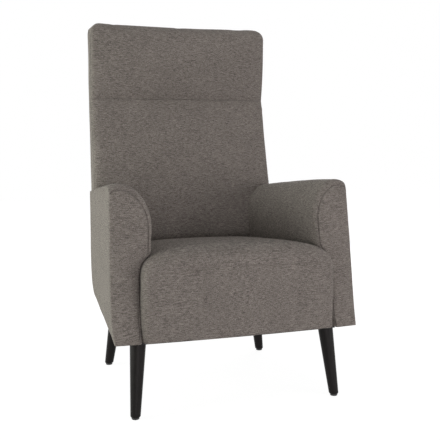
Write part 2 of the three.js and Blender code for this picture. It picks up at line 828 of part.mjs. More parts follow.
// The room inside the arm, behind its front board.
function armCavity() {
  const rear = body.depth * 2;
  const ring = (v, top) => {
    const [low, high] = [-overrun, top - armRail.thick / 2];
    return [
      atSide(-overrun, v(low), low),
      atSide(armRail.foamTo, v(low), low),
      atSide(armRail.foamTo, v(high), high),
      atSide(-overrun, v(high), high),
    ];
  };
  const front = (w) => boardFaceAt(w) + armBoard.thick / 2;
  return loft([
    ring(front, railTopAt(0)),
    ring(() => rear, railTopAt(rear)),
  ]);
}

const beside = (by) =>
  member([wide, -wide / 2], [offset(faceAt, by), behind], [-overrun, back.seamHeight]);
const armRear = beside(arm.backReach);
const armBelow = member(
  [wide, -wide / 2],
  [frontBlockFront - clear, behind],
  [-2 * overrun, corner.top + clear],
);
const armFoot = member([wide, -wide / 2], [-overrun, behind], [-2 * overrun, foamFoot]);
const behindRear = (by) =>
  member([wide, -wide / 2], [offset(rearAt, by), behind], levels(-overrun, back.height));

const armShell = without(arms[0], [arms[1], backRoom, seatRoom]);
const outerArmCover = armShell.intersect(armStrip(0)).subtract(behindRear(-clear));
const armWrap = armShell.subtract(armStrip(cloth.seam));
const armFacing = armWrap.intersect(facingCutter(0));
const innerArmCover = without(armWrap, [facingCutter(cloth.seam), armRear, armBelow]);
const armFoam = without(arms[2], [
  backRoom,
  seatRoom,
  armRear,
  armBelow,
  armFoot,
  armCavity(),
  armFrontBoard(clear),
  armTopRail(clear),
]);

// The back's own pieces

const armRailRooms = [armTopRail(clear), mirrored(armTopRail(clear))];
const backShell = backs[0].subtract(backs[1]);
const seamAt = back.seamHeight;
const crest = back.height * 2;
const rearSeam = back.height - back.topRearRadius - back.topDip;
const borderTop = back.height - back.borderTop;

const slice = (low, high) => across(-wide, [-overrun, behind], [low, high]);
const rearPart = (gap) =>
  across(
    -wide,
    [offset(rearAt, -back.rearWrap - gap), behind],
    levels(-overrun, rearSeam + gap),
  );
const borderShares = [0.2, 0.45, 0.7]; // up the headrest
const headLevels = borderShares.map((share) => mix(seamAt, back.height, share));
const sidePart = (gap) =>
  member(
    [back.sideSeam + gap, -overrun],
    [offset(faceAt, back.sideSeam - gap), behind],
    [back.foot, seamAt, ...headLevels, borderTop + gap],
  );

const outerBackCover = backShell.intersect(rearPart(0));
const backWrap = without(backShell, [rearPart(cloth.seam), slice(-overrun, back.foot)]);
const frontPanels = without(backWrap, [
  sidePart(cloth.seam),
  mirrored(sidePart(cloth.seam)),
  ...armRailRooms,
]);
const innerBackCover = frontPanels.intersect(slice(back.foot, seamAt - cloth.seam / 2));
const headrestCover = frontPanels.intersect(slice(seamAt + cloth.seam / 2, crest));

const webRoom = web.thick + 2 * clear; // in front of the uprights
const foamRear = (w) => rearAt(Math.max(w, post.kneeHeight)) - post.rearIn - post.deep - webRoom;
const postTop = back.height - post.top;
const frameRoom = across(
  post.sideIn - clear,
  [foamRear, behind],
  levels(-overrun, postTop + clear),
);
const backPads = without(backs[2], [frameRoom, ...armRailRooms]);
const backFoam = backPads.intersect(slice(back.foot, seamAt - clear / 2));
const headrestFoam = backPads.intersect(slice(seamAt + clear / 2, crest));

const postUp = member(
  [post.sideIn, post.sideIn + post.thick],
  [postFrontAt, postRearAt],
  levels(rail.bottom, postTop),
);
const betweenPosts = post.sideIn + post.thick + clear;
const crossRail = ([low, high]) =>
  across(betweenPosts, [postFrontAt, offset(postFrontAt, backRail.thick)], [low, high]);
const strap = (w) =>
  across(
    web.sideIn,
    [offset(postFrontAt, -clear - web.thick), offset(postFrontAt, -clear)],
    [w - web.width / 2, w + web.width / 2],
  );

// The seat frame

const frontRail = across(
  railEndIn,
  [rail.frontBack, rail.frontBack + rail.deep],
  [rail.bottom, rail.top],
);
const rearRail = across(post.sideIn, [railRear - rail.deep, railRear], [rail.bottom, rail.top]);
const sideRailSolid = member(
  [sideRail.from, sideRail.to],
  [boardFaceAt(sideRail.top) + armBoard.thick + clear, railRear - rail.deep - clear],
  [corner.top + clear, sideRail.top],
);

// A wire bent in bars from side to side, clipped to the front and rear rails.
function zigzag(x) {
  const perBar = 4;
  const length = deckRear - deckFront;
  const count = spring.bars * perBar;
  const path = Array.from({ length: count + 1 }, (_, i) => {
    const turns = (Math.PI * i) / perBar;
    const run = (turns - Math.sin(2 * turns) / 2) / (Math.PI * spring.bars);
    const y = deckFront + run * length;
    return upright(x + spring.halfWidth * Math.sin(turns), y, deckAt(y));
  });
  const up = new THREE.Vector3(0, 0, 1);
  const sides = 4;
  const rings = path.map((q, i) => {
    const before = path[Math.max(i - 1, 0)];
    const after = path[Math.min(i + 1, count)];
    const along = new THREE.Vector3().subVectors(after, before);
    const aside = new THREE.Vector3().crossVectors(along, up).normalize();
    const above = new THREE.Vector3().crossVectors(aside, along).normalize();
    return Array.from({ length: sides }, (_, k) => {
      const angle = (2 * Math.PI * (k + 0.5)) / sides;
      return q
        .clone()
        .addScaledVector(aside, spring.wire * Math.cos(angle))
        .addScaledVector(above, spring.wire * Math.sin(angle));
    });
  });
  const clip = (y) => {
    const low = rail.top + clear;
    const [halfX, halfY] = [spring.clipWidth / 2, spring.clipDeep / 2];
    return box([x - halfX, y - halfY, low], [x + halfX, y + halfY, low + spring.clipHeight], upright);
  };
  return joined([loft(rings), clip(deckFront), clip(deckRear)]);
}

const insulator = deckSheet(
  halfWidth(deckRear - felt.rearIn, seatSideIn + felt.inset),
  felt.frontIn,
  deckRear - felt.rearIn,
  feltBottom,
  feltBottom + felt.thick,
);

// The dust cover fills the underside inside the covers.
function dustCover() {
  const level = [dust.lift, dust.lift + dust.thick];
  const sheet = across(-wide, [-wide, behind], level);
  const middle = across(dust.sideIn, [frontBlockFront, body.depth - dust.rearIn], level);
  const rear = across(-wide, [body.depth - back.rearWrap - dust.rearIn, behind], [-wide, wide]);
  const corners = [arms[2], mirrored(arms[2]), seats[2]].map((s) =>
    s.intersect(sheet).subtract(rear),
  );
  const holes = [frontLeg, rearLeg].flatMap((place) => {
    const { top } = legAxis(place);
    const station = (z) => ({ at: top.clone().setZ(z), radius: leg.topRadius + dust.legClear });
    const hole = bar([station(body.floorGap - overrun), station(body.floorGap + overrun)], 20);
    return [hole, mirrored(hole)];
  });
  return without(joined([middle, ...corners]), holes);
}

// Names and looks

const cover = new THREE.MeshStandardMaterial({ color: 0x6f6a65, roughness: 0.95 });
const foam = new THREE.MeshStandardMaterial({ color: 0xe8dcc0, roughness: 0.9 });
const padding = new THREE.MeshStandardMaterial({ color: 0x4a4a48, roughness: 1 });
const timber = new THREE.MeshStandardMaterial({ color: 0xc9a77a, roughness: 0.7 });
const stained = new THREE.MeshStandardMaterial({ color: 0x241f1d, roughness: 0.45 });
const steel = new THREE.MeshStandardMaterial({ color: 0x9a9c9e, roughness: 0.4, metalness: 0.9 });
const webbing = new THREE.MeshStandardMaterial({ color: 0x2c2c2e, roughness: 0.9 });
const nylon = new THREE.MeshStandardMaterial({ color: 0x1b1b1b, roughness: 0.6 });

const chair = new THREE.Group();
chair.name = "fireside_chair";

function add(name, solid, look, group = chair) {
  group.add(Object.assign(new THREE.Mesh(geometryOf(solid), look), { name }));
}

const sided = [
  ["arm_front_board", armFrontBoard(0), timber],
  ["arm_top_rail", armTopRail(0), timber],
  ["arm_foam", armFoam, foam],
  ["inner_arm_cover", innerArmCover, cover],
  ["outer_arm_cover", outerArmCover, cover],
  ["arm_front_facing", armFacing, cover],
  ["seat_side_rail", sideRailSolid, timber],
  ["back_upright", postUp, timber],
  ["front_corner_block", cornerBlock(frontBlockFront, frontLeg), timber],
  ["rear_corner_block", cornerBlock(rearBlockFront, rearLeg), timber],
  ["front_leg", turnedLeg(frontLeg), stained],
  ["rear_leg", turnedLeg(rearLeg), stained],
  ["front_hanger_bolt", hangerBolt(frontLeg), steel],
  ["rear_hanger_bolt", hangerBolt(rearLeg), steel],
  ["front_glide", footGlide(frontLeg), nylon],
  ["rear_glide", footGlide(rearLeg), nylon],
];
for (const [side, flip] of [["left", 1], ["right", -1]]) {
  const group = new THREE.Group();
  group.scale.x = flip;
  for (const [name, solid, look] of sided) add(`${side}_${name}`, solid, look, group);
  chair.add(group);
}

add("seat_front_rail", frontRail, timber);
add("seat_rear_rail", rearRail, timber);
for (let i = 0; i < spring.count; i++) {
  const share = (2 * i) / (spring.count - 1) - 1;
  add(`seat_spring_${i + 1}`, zigzag(share * halfWidth(deckRear, seatSideIn + spring.inset)), steel);
}
add("spring_insulator", insulator, padding);
add("seat_foam", seatFoam, foam);
add("seat_cover", seatCover, cover);
add("dust_cover", dustCover(), padding);
["back_bottom_rail", "back_middle_rail", "back_top_rail"].forEach((name, i) =>
  add(name, crossRail(backRail.heights[i]), timber),
);
web.heights.forEach((w, i) => add(`back_webbing_${i + 1}`, strap(w), webbing));
add("back_foam", backFoam, foam);
add("headrest_foam", headrestFoam, foam);
add("inner_back_cover", innerBackCover, cover);
add("headrest_cover", headrestCover, cover);
add("left_back_border", backWrap.intersect(sidePart(0)), cover);
add("right_back_border", backWrap.intersect(mirrored(sidePart(0))), cover);
add("outer_back_cover", outerBackCover, cover);

const middle = new THREE.Box3().setFromObject(chair).getCenter(new THREE.Vector3());
chair.position.set(-middle.x, -middle.y, 0);

export default chair;
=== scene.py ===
import json
import math
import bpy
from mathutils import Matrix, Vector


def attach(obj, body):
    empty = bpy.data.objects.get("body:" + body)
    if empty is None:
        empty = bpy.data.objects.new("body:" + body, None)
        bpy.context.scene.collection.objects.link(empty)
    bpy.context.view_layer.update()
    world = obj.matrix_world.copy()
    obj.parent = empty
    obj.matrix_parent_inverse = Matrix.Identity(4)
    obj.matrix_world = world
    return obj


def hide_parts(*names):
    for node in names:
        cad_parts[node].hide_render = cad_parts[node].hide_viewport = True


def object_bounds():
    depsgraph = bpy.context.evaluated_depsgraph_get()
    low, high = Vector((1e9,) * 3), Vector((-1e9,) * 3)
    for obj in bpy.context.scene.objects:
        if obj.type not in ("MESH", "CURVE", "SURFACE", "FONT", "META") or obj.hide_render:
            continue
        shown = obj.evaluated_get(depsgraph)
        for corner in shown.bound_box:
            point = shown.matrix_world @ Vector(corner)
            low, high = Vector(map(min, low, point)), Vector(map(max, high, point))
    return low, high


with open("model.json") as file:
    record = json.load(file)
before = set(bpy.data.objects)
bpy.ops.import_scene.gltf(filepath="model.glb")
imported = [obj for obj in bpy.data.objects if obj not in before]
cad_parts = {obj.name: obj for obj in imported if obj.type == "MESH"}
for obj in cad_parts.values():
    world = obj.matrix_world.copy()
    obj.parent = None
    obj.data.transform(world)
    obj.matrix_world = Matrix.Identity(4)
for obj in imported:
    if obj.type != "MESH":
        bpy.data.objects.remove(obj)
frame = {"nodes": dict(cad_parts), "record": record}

from types import SimpleNamespace as Sizes

import bmesh
import bpy
import numpy as np
from mathutils import Matrix, Vector, noise

cad_low, cad_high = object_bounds()

# Sizes, in metres, and the powers and bows of some curves. Left and right are the sitter's,
# and the chair faces -Y.

body = Sizes(width=0.715, depth=0.648, gap=0.209, turn=0.059, tuck=0.008, tuck_height=0.032)
arm = Sizes(
    height=0.417, ridge_fall=0.061, ridge_bow=1.35, edge_height=0.403, edge_fall=0.049,
    ridge_in=0.033, width=0.116, narrowing=0.021, over_seat=0.034, arch=0.119, edge_lean=0.004,
    rake=0.0519, toe=0.018, toe_height=0.040, front_radius=0.012, top_radius=0.024,
    side_radius=0.004, crown=0.004, seam_in=0.011, seam_under_top=0.017, back_reach=0.010,
    block_front=0.030, block_top=0.042,
)
seat = Sizes(
    height=0.245, fall=0.056, fall_bow=1.6, arm_gap=0.0025, shoulder=0.098, square=(4, 3.8),
    square_run=0.300, front_out=0.012, front_crown=0.012, top_radius=0.046, side_radius=0.020,
    deck=0.106, lap=0.045, back_reach=0.006, crown_low=0.8,
)
back = Sizes(
    height=0.904, dip=0.006, foot=0.124, seam=0.661, thickness=0.096, lean=0.1225,
    crown=0.016, seam_crown=0.008, crown_run=0.16525, head_forward=0.018, head_bow=1.3,
    head_crown=0.013, groove=0.0012, groove_reach=0.014, crease=0.012, crease_reach=0.017,
    heel=0.028, heel_height=0.040, top_back=0.026, front_radius=0.014, rear_radius=0.008,
    top_front=0.034, top_side=0.034, top_rear=0.020, rear_crown=0.004, side_seam=0.015,
    side_in=0.003, rear_wrap=0.009, rear_gap=0.0005,
)
legs = Sizes(
    top_radius=0.0225, foot_radius=0.0137, foot_round=0.004, foot_height=0.0053, rise=0.0037,
    front=Sizes(top_in=0.076, top_y=0.056, foot_in=0.062, foot_y=0.024),
    rear=Sizes(
        top_in=0.0723, top_y=body.depth - 0.122, foot_in=0.042, foot_y=body.depth - 0.107
    ),
)
cloth = Sizes(
    thick=0.0022, seam_depth=0.0022, facing_depth=0.0036, shallow_depth=0.00044,
    seam_lap=0.0025, hem=0.008, cell=0.009, yarn=0.0016, fill=0.8,
)
bulge = Sizes(outside=0.001, pad=0.003, facing=0.002, seat=0.0015, back=0.004, border=0.001)
stitch = Sizes(pitch=0.0052, length=0.0036, radius=0.00042, rise=0.0006, look=0.001)
fold = Sizes(width=0.012, depth=0.0022, start=0.700, fade=0.060)
studio = Sizes(floor=14, glow_run=(0.6, 2.2), aim=(0, 0, 0.5))

taper = math.atan2(body.turn, body.depth)
sine, cosine = math.sin(taper), math.cos(taper)
front_y = cad_low.y + seat.front_out + seat.front_crown
seat_side = arm.width - arm.over_seat

# Panels of the three skins, and the mark of a face that no panel takes
OUTSIDE, PAD, FACING = 0, 1, 2
SEAT = 0
BACK, HEAD, LEFT_BORDER, RIGHT_BORDER, REAR = 0, 1, 2, 3, 4
HIDDEN = 9

# Columns of the arm's outline: its outside, turned top edge, arch, side and underside
OUTSIDE_STEPS, TURN_STEPS, ARCH_STEPS, SIDE_STEPS, UNDER_STEPS = 48, 8, 12, 16, 32
EDGE = OUTSIDE_STEPS
RIDGE = EDGE + TURN_STEPS
ARCH_END = RIDGE + ARCH_STEPS
FOOT = ARCH_END + SIDE_STEPS + UNDER_STEPS
SOLE_STEPS = TURN_STEPS + ARCH_STEPS

# Rings of the arm's front, as shares of the turn up to the facing's seam and on from it
FACING_SHARES = (0, 0.5, 1)
WRAP_SHARES = (0, 0.1, 0.3, 0.55, 0.8, 1)

# Columns of half the seat's crown, those up to its corner, and rows of its front's rounding
SEAT_HALF, SEAT_CORNER, ROUND_STEPS = 52, 28, 8
SEAT_FLAT = 2 * (SEAT_HALF - SEAT_CORNER)

# Columns of half the back's plan, and rows up its front
FRONT_COLUMNS, CORNER_COLUMNS, SIDE_COLUMNS = 36, 4, 11
CORNER_END = FRONT_COLUMNS + CORNER_COLUMNS
WRAP = CORNER_END + SIDE_COLUMNS
COLUMNS = WRAP + 1 + CORNER_COLUMNS + FRONT_COLUMNS
BACK_ROWS, TOP_ROWS = 62, 6
HEAD_SHARES = (0, *np.linspace(0.04, 0.97, 24), 1)

# Points of the curves that are then resampled evenly
UNDER_FINE, CHAIN_FINE, CROWN_FINE = 60, 200, 300

# Sides of a leg, steps of its foot's rounding, and rows of its taper from a share of its height
LEG_SIDES, LEG_ROUND_STEPS, LEG_ROWS, LEG_START = 48, 6, 12, 0.08


# Curves of the form. u runs inwards from an arm's outside and v along the arm, y rearwards from
# the chair's front, and w up from the underside of the upholstery.


def smooth(x):
    x = np.clip(x, 0, 1)
    return x * x * (3 - 2 * x)


def mix(a, b, share):
    return a + (b - a) * share


def half_width(y, inside):
    """Half the chair's width at a depth, less a distance inside its side."""
    return body.width / 2 - y * math.tan(taper) - inside / cosine


def tuck(w):
    """How far the outside is drawn in at its foot."""
    return body.tuck * np.exp(-np.maximum(w, 0) / body.tuck_height)


def rear(w):
    """The depth of the chair's rear at a height."""
    up = np.maximum(w, 0)
    heel = back.heel * (1 - np.exp(-up / back.heel_height))
    return body.depth + heel + back.top_back * up / back.height


seam_front = float(rear(back.seam)) - back.thickness
arm_length = float(rear(back.height)) / cosine


def ridge(v):
    return arm.height - arm.ridge_fall * (np.maximum(v, 0) / arm_length) ** arm.ridge_bow


def edge(v):
    """The height of the seam at the top of the arm's outside."""
    return arm.edge_height - arm.edge_fall * v / arm_length


def pad_width(v):
    return arm.width - arm.narrowing * v / arm_length


def rake(w):
    """How far the arm's front lies behind its foot at a height."""
    toe = arm.toe * (1 - np.exp(-np.maximum(w, 0) / arm.toe_height))
    return arm.rake * w / arm.height + toe


def seat_top(y):
    return seat.height - seat.fall * (np.maximum(y, 0) / seam_front) ** seat.fall_bow


def square(y):
    """The power of the seat's rounded section at a depth."""
    return mix(*seat.square, smooth(y / seat.square_run))


def face(w):
    """The back's front at its edges: a lean, then the headrest."""
    up = np.clip((w - back.seam) / (back.height - back.seam), 0, 1)
    low = seam_front - back.lean * (back.seam - w) / (back.seam - back.foot)
    bow = np.sin(np.pi / 2 * np.minimum(back.head_bow * up, 1))
    return np.where(w < back.seam, low, seam_front - back.head_forward * bow)


def front(w):
    """The face with the headrest's groove and the recess above the seat."""
    groove = np.exp(-(((w - back.seam) / back.groove_reach) ** 2))
    crease = np.exp(-(((w - seat.height + seat.fall) / back.crease_reach) ** 2))
    return face(w) + back.groove * groove + back.crease * crease


def crown(w):
    """How far the middle of the back stands out before its edges."""
    up = np.clip((w - back.seam) / (back.height - back.seam), 0, 1)
    down = np.maximum(back.seam - w, 0)
    low = mix(back.seam_crown, back.crown, smooth(down / back.crown_run))
    return back.head_crown * np.sin(np.pi * up) + low


# Grids of points


def evenly(curve, count):
    """A curve of points, resampled to count steps of equal length."""
    curve = np.asarray(curve, float)
    run = np.concatenate([[0], np.cumsum(np.linalg.norm(np.diff(curve[:, :2], axis=0), axis=1))])
    at = np.linspace(0, run[-1], count + 1)
    return np.stack([np.interp(at, run, column) for column in curve.T], axis=1)


def softened(curve, passes):
    """A curve with its corners rounded off and its ends kept."""
    for _ in range(passes):
        curve[1:-1] = (curve[:-2] + 2 * curve[1:-1] + curve[2:]) / 4
    return curve


def inwards(outline, distance):
    """A flat outline, run anticlockwise, with each point moved inwards by its own distance."""
    along = np.gradient(outline, axis=0)
    along /= np.linalg.norm(along, axis=1, keepdims=True)
    return outline + np.stack([-along[:, 1], along[:, 0]], axis=1) * distance[:, None]


def patch(bottom, right, top, left):
    """A grid between four edges. Bottom and top run one way, left and right the other."""
    s = np.linspace(0, 1, len(bottom))[:, None, None]
    t = np.linspace(0, 1, len(left))[None, :, None]
    across = mix(left[None], right[None], s)
    up = mix(bottom[:, None], top[:, None], t)
    corners = mix(mix(bottom[0], bottom[-1], s), mix(top[0], top[-1], s), t)
    return across + up - corners


def placed(x, y, w):
    return np.stack(np.broadcast_arrays(x, y + front_y, w + body.gap), axis=-1)


def parts_of(points):
    """The x, y and w of a grid of points."""
    return np.moveaxis(points, -1, 0)


def linked(name, data):
    made = bpy.data.objects.new(name, data)
    bpy.context.scene.collection.objects.link(made)
    return made


def from_work(name, work):
    """An object from a bmesh, which is freed."""
    mesh = bpy.data.meshes.new(name)
    work.to_mesh(mesh)
    work.free()
    return linked(name, mesh)


def tube(work, rings):
    """A closed tube through rings of vertices."""
    for low, high in zip(rings, rings[1:]):
        for i in range(len(low)):
            j = (i + 1) % len(low)
            work.faces.new((low[i], low[j], high[j], high[i])).smooth = True
    work.faces.new(rings[0][::-1])
    work.faces.new(rings[-1])


class Form:
    """A closed skin of grids. Each quad has the number of the panel that it belongs to."""

    def __init__(self):
        self.points, self.quads, self.panels = [], [], []
        self.count = 0

    def grid(self, points, panels):
        m, n = points.shape[:2]
        ids = self.count + np.arange(m * n).reshape(m, n)
        self.points.append(points.reshape(-1, 3))
        self.count += m * n
        a, b, c, d = ids[:-1, :-1], ids[1:, :-1], ids[1:, 1:], ids[:-1, 1:]
        self.quads.append(np.stack([a, b, c, d], axis=-1).reshape(-1, 4))
        self.panels.append(np.broadcast_to(panels, (m - 1, n - 1)).reshape(-1))

    def object(self, name):
        points, quads = np.concatenate(self.points), np.concatenate(self.quads)
        mesh = bpy.data.meshes.new(name)
        mesh.from_pydata(points.tolist(), [], quads.tolist())
        panels = np.concatenate(self.panels).astype(np.int32)
        mesh.polygons.foreach_set("material_index", panels)
        work = bmesh.new()
        work.from_mesh(mesh)
        bmesh.ops.remove_doubles(work, verts=work.verts, dist=1e-5)
        bmesh.ops.dissolve_degenerate(work, edges=work.edges, dist=1e-6)
        bmesh.ops.recalc_face_normals(work, faces=work.faces)
        work.to_mesh(mesh)
        work.free()
        return linked(name, mesh)


# The arm


def arm_section(v):
    """The arm's outline, from its outside foot over the ridge to its inside foot."""
    high, wide, low_edge = ridge(v), pad_width(v), edge(v)
    forward = max(1 - v / arm_length, 0)
    lap = cloth.seam_lap
    w = np.concatenate([[0], np.linspace(lap, low_edge - lap, OUTSIDE_STEPS - 1), [low_edge]])
    outside = np.stack([tuck(w) + arm.edge_lean * forward * (w / low_edge) ** 2, w], axis=1)
    turn = np.linspace(0, np.pi / 2, TURN_STEPS + 1)[1:]
    across = mix(arm.ridge_in, outside[-1, 0], np.cos(turn))
    top = np.stack([across, mix(low_edge, high, np.sin(turn))], axis=1)
    upper = np.linspace(np.pi / 2, np.pi / 4, ARCH_STEPS + 1)[1:]
    lower = np.linspace(np.pi / 4, 0, SIDE_STEPS + 1)[1:]
    turn = np.concatenate([upper, lower])
    across = arm.ridge_in + (wide - arm.ridge_in) * np.cos(turn)
    arch = np.stack([across, high - arm.arch + arm.arch * np.sin(turn)], axis=1)
    return np.concatenate([outside, top, arch, under_pad(v, arch[-1], wide)[1:]])


def under_pad(v, start, wide):
    """From the pad's widest place, round its lower edge and along the seat's side to the foot."""
    y = v + rake(seat.height) * max(1 - v / arm_length, 0) - seat.top_radius
    half = half_width(y, seat_side)
    foot = seat_side - seat.arm_gap
    reach = (wide - foot - seat.arm_gap) / half
    power = square(y)
    crease = (1 - (1 - reach) ** power) ** (1 / power)
    low = seat_top(y) - seat.shoulder
    rise = crease * np.linspace(1, 0, UNDER_FINE)
    across = foot + half * (1 - (1 - rise**power) ** (1 / power))
    under = np.stack([across, low + seat.shoulder * rise], axis=1)
    chain = np.concatenate([[start], under, [[foot, low / 2], [foot, 0]]])
    return softened(evenly(evenly(chain, CHAIN_FINE), UNDER_STEPS), passes=2)


def arm_place(u, v, w):
    v = v + rake(w) * np.clip(1 - v / arm_length, 0, 1)
    return placed(body.width / 2 - u * cosine - v * sine, v * cosine - u * sine, w)


def arm_rings():
    """Rings round the arm: the facing's edge, then the covers from its seam to the rear."""
    u, w = arm_section(0).T
    outer = np.arange(FOOT + 1) < RIDGE
    top = smooth(2 * w / ridge(0) - 1) ** 2
    radius = mix(np.where(outer, arm.side_radius, arm.front_radius), arm.top_radius, top)
    aside = mix(arm.side_radius, -arm.front_radius, np.clip(u / arm.width, 0, 1))
    seam_in = mix(arm.seam_in, arm.seam_under_top, top)
    halfway = outer & (top < 0.5)
    seam = np.where(halfway, 0.5, np.minimum(seam_in / radius, 1))
    start = np.arcsin(1 - seam)

    def rounded(angle):
        sunk = 1 - np.sin(angle)
        height = w - arm.top_radius * top * sunk
        return arm_place(u + aside * sunk, radius * (1 - np.cos(angle)), height)

    facing = [rounded(start * share) for share in FACING_SHARES]
    wrap = [rounded(mix(start, np.pi / 2, share)) for share in WRAP_SHARES]
    for run in np.linspace(0, arm_length, round(arm_length / cloth.cell))[1:]:
        u_here, w_here = arm_section(run).T
        wrap.append(arm_place(u_here, radius + run * (1 - radius / arm_length), w_here))
    return facing, wrap


def sole(ring):
    """The underside of a ring, from its inside foot back to its outside foot."""
    hem = cloth.hem / np.linalg.norm(ring[-1] - ring[0])
    shares = np.concatenate([[0], np.linspace(hem, 1 - hem, SOLE_STEPS - 1), [1]])
    return mix(ring[-1], ring[0], shares[:, None])


def with_sole(ring):
    return np.concatenate([ring, sole(ring)[1:]])


def arm_end(ring):
    """A grid that closes one end of the arm."""
    bottom = sole(ring)[::-1]
    return patch(bottom, ring[ARCH_END:][::-1], ring[EDGE : ARCH_END + 1], ring[: EDGE + 1])


def arm_form():
    form = Form()
    facing, wrap = arm_rings()
    hem = [PAD, *[HIDDEN] * (SOLE_STEPS - 2), OUTSIDE]
    panels = np.array([OUTSIDE] * EDGE + [PAD] * (FOOT - EDGE) + hem)
    form.grid(np.stack([with_sole(ring) for ring in facing]), FACING)
    form.grid(np.stack([with_sole(ring) for ring in wrap]), panels)
    sheet = arm_end(facing[0])
    s, t = np.meshgrid(*[np.linspace(0, 1, n) for n in sheet.shape[:2]], indexing="ij")
    sheet[..., 1] -= arm.crown * np.sin(np.pi * t) * (1 - (2 * s - 1) ** 2)
    form.grid(sheet, FACING)
    form.grid(arm_end(wrap[-1]), HIDDEN)
    return form


# The seat


def seat_section(y):
    """From the right foot over the crown to the left foot: x, w and a share up the crown."""
    low, half = seat_top(y) - seat.shoulder, half_width(y, seat_side)
    turn = np.linspace(0, np.pi / 2, CROWN_FINE)
    power = 2 / square(y)
    across, up = np.maximum(np.cos(turn), 0) ** power, np.sin(turn) ** power
    arc = np.stack([half * across, low + seat.shoulder * up, turn], axis=1)
    chain = evenly(np.concatenate([[[half, 0, 0]], arc]), SEAT_HALF)
    return np.concatenate([chain, chain[-2::-1] * [-1, 1, 1]])


def proud(x, y, w):
    """How far the seat's front stands out."""
    across = x / half_width(0, seat_side)
    up = np.clip(2 * w / seat.height - 1, -seat.crown_low, 1)
    near = 1 - smooth((y + seat.front_out) / (2 * seat.top_radius))
    return seat.front_crown * (1 - across**2) * (1 - up**4) * near


def seat_place(points):
    x, y, w = parts_of(points)
    return placed(x, y - proud(x, y, w), w)


def seat_ring(x, y, w):
    """A ring of the seat, with the flat underside added."""
    ring = np.stack(np.broadcast_arrays(x, y, w), axis=-1)
    flat = mix(ring[-1], ring[0], np.linspace(0, 1, SEAT_FLAT + 1)[:, None])
    return np.concatenate([ring, flat[1:]])


def seat_rings():
    section = seat_section(-seat.front_out)
    radius = mix(seat.side_radius, seat.top_radius, smooth(section[:, 2] * 4 / np.pi))
    rings = []
    for angle in np.linspace(0, np.pi / 2, ROUND_STEPS + 1):
        x, w = inwards(section[:, :2], radius * (1 - math.sin(angle))).T
        w = np.where(section[:, 1] > 0, w, 0)
        rings.append(seat_ring(x, -seat.front_out + radius * (1 - math.cos(angle)), w))
    length = seam_front - seat.front_out
    for run in np.linspace(0, length, round(length / cloth.cell))[1:]:
        x, w = seat_section(run - seat.front_out)[:, :2].T
        rings.append(seat_ring(x, -seat.front_out + radius + run * (1 - radius / length), w))
    return rings


def seat_end(ring):
    """A grid that closes one end of the seat."""
    first, last = SEAT_CORNER, 2 * SEAT_HALF - SEAT_CORNER
    bottom = ring[2 * SEAT_HALF :][::-1]
    side = ring[last : 2 * SEAT_HALF + 1][::-1]
    return patch(bottom, side, ring[first : last + 1], ring[: first + 1])


def seat_form():
    form = Form()
    rings = seat_rings()
    panels = np.full((len(rings) - 1, len(rings[0]) - 1), SEAT)
    panels[ROUND_STEPS:, 2 * SEAT_HALF :] = HIDDEN
    form.grid(seat_place(np.stack(rings)), panels)
    form.grid(seat_place(seat_end(rings[0])), SEAT)
    form.grid(seat_place(seat_end(rings[-1])), HIDDEN)
    return form


# The back


def back_columns(w):
    """Half the plan at each height w: x and y, from the middle of the front to the rear's."""
    inside = back.side_in + tuck(w)
    face_y, rear_y = front(w), rear(w)
    front_x = half_width(face_y + back.front_radius, inside) - back.front_radius
    rear_x = half_width(rear_y - back.rear_radius, inside) - back.rear_radius
    points = []
    for share in np.linspace(0, 1, FRONT_COLUMNS + 1)[:-1]:
        points.append((front_x * share, face_y - crown(w) * (1 - share**2)))
    for turn in np.linspace(0, np.pi / 2, CORNER_COLUMNS + 1)[:-1]:
        round_x = front_x + back.front_radius * np.sin(turn)
        points.append((round_x, face_y + back.front_radius * (1 - np.cos(turn))))
    seam_y, wrap_y = face(w) + back.side_seam, rear_y - back.rear_wrap
    lap = cloth.seam_lap
    for y in (seam_y, *np.linspace(seam_y + lap, wrap_y - lap, SIDE_COLUMNS - 1), wrap_y):
        points.append((half_width(y, inside), y))
    for turn in np.linspace(0, np.pi / 2, CORNER_COLUMNS + 1):
        round_y = rear_y - back.rear_radius * (1 - np.sin(turn))
        points.append((rear_x + back.rear_radius * np.cos(turn), round_y))
    for share in np.linspace(1, 0, FRONT_COLUMNS + 1)[1:]:
        points.append((rear_x * share, rear_y + back.rear_crown * (1 - share**2)))
    return np.array([np.broadcast_arrays(x, y, w) for x, y in points])


def back_row(w):
    """Half a ring with its own height at each column."""
    grid = back_columns(np.broadcast_to(w, COLUMNS + 1))
    return np.stack([grid[i, :, i] for i in range(COLUMNS + 1)])


def around(half):
    """A whole ring from one side of it."""
    other = half[-2:0:-1].copy()
    other[:, 0] *= -1
    return np.concatenate([half, other, half[:1]])


def top_radii():
    """The radius at the top of each column."""
    radii = np.full(COLUMNS + 1, back.top_rear)
    radii[: FRONT_COLUMNS + 1] = back.top_front
    corner = np.linspace(back.top_front, back.top_side, CORNER_COLUMNS + 1)
    radii[FRONT_COLUMNS : CORNER_END + 1] = corner
    radii[CORNER_END : WRAP + 1] = np.linspace(back.top_side, back.top_rear, SIDE_COLUMNS + 1)
    return radii


def top_start(radii):
    """The height where each column turns in to the top, which dips in its middle."""
    across = back_row(back.height)[:, 0] / half_width(seam_front, 0)
    return back.height - back.dip * (1 - across**2) - radii


def top_row(start, radii, turn):
    """Half a ring of the top's rounding."""
    sunk = 1 - math.cos(turn)
    row = back_row(start + radii * math.sin(turn))
    w = row[:, 2]
    rearward = np.clip((row[:, 1] - front(w)) / (rear(w) - front(w)), 0, 1)
    row[:, 0] *= 1 - back.top_side * sunk / half_width(front(back.height), 0)
    row[:, 1] += mix(back.top_front, -back.top_rear, rearward) * sunk
    return row


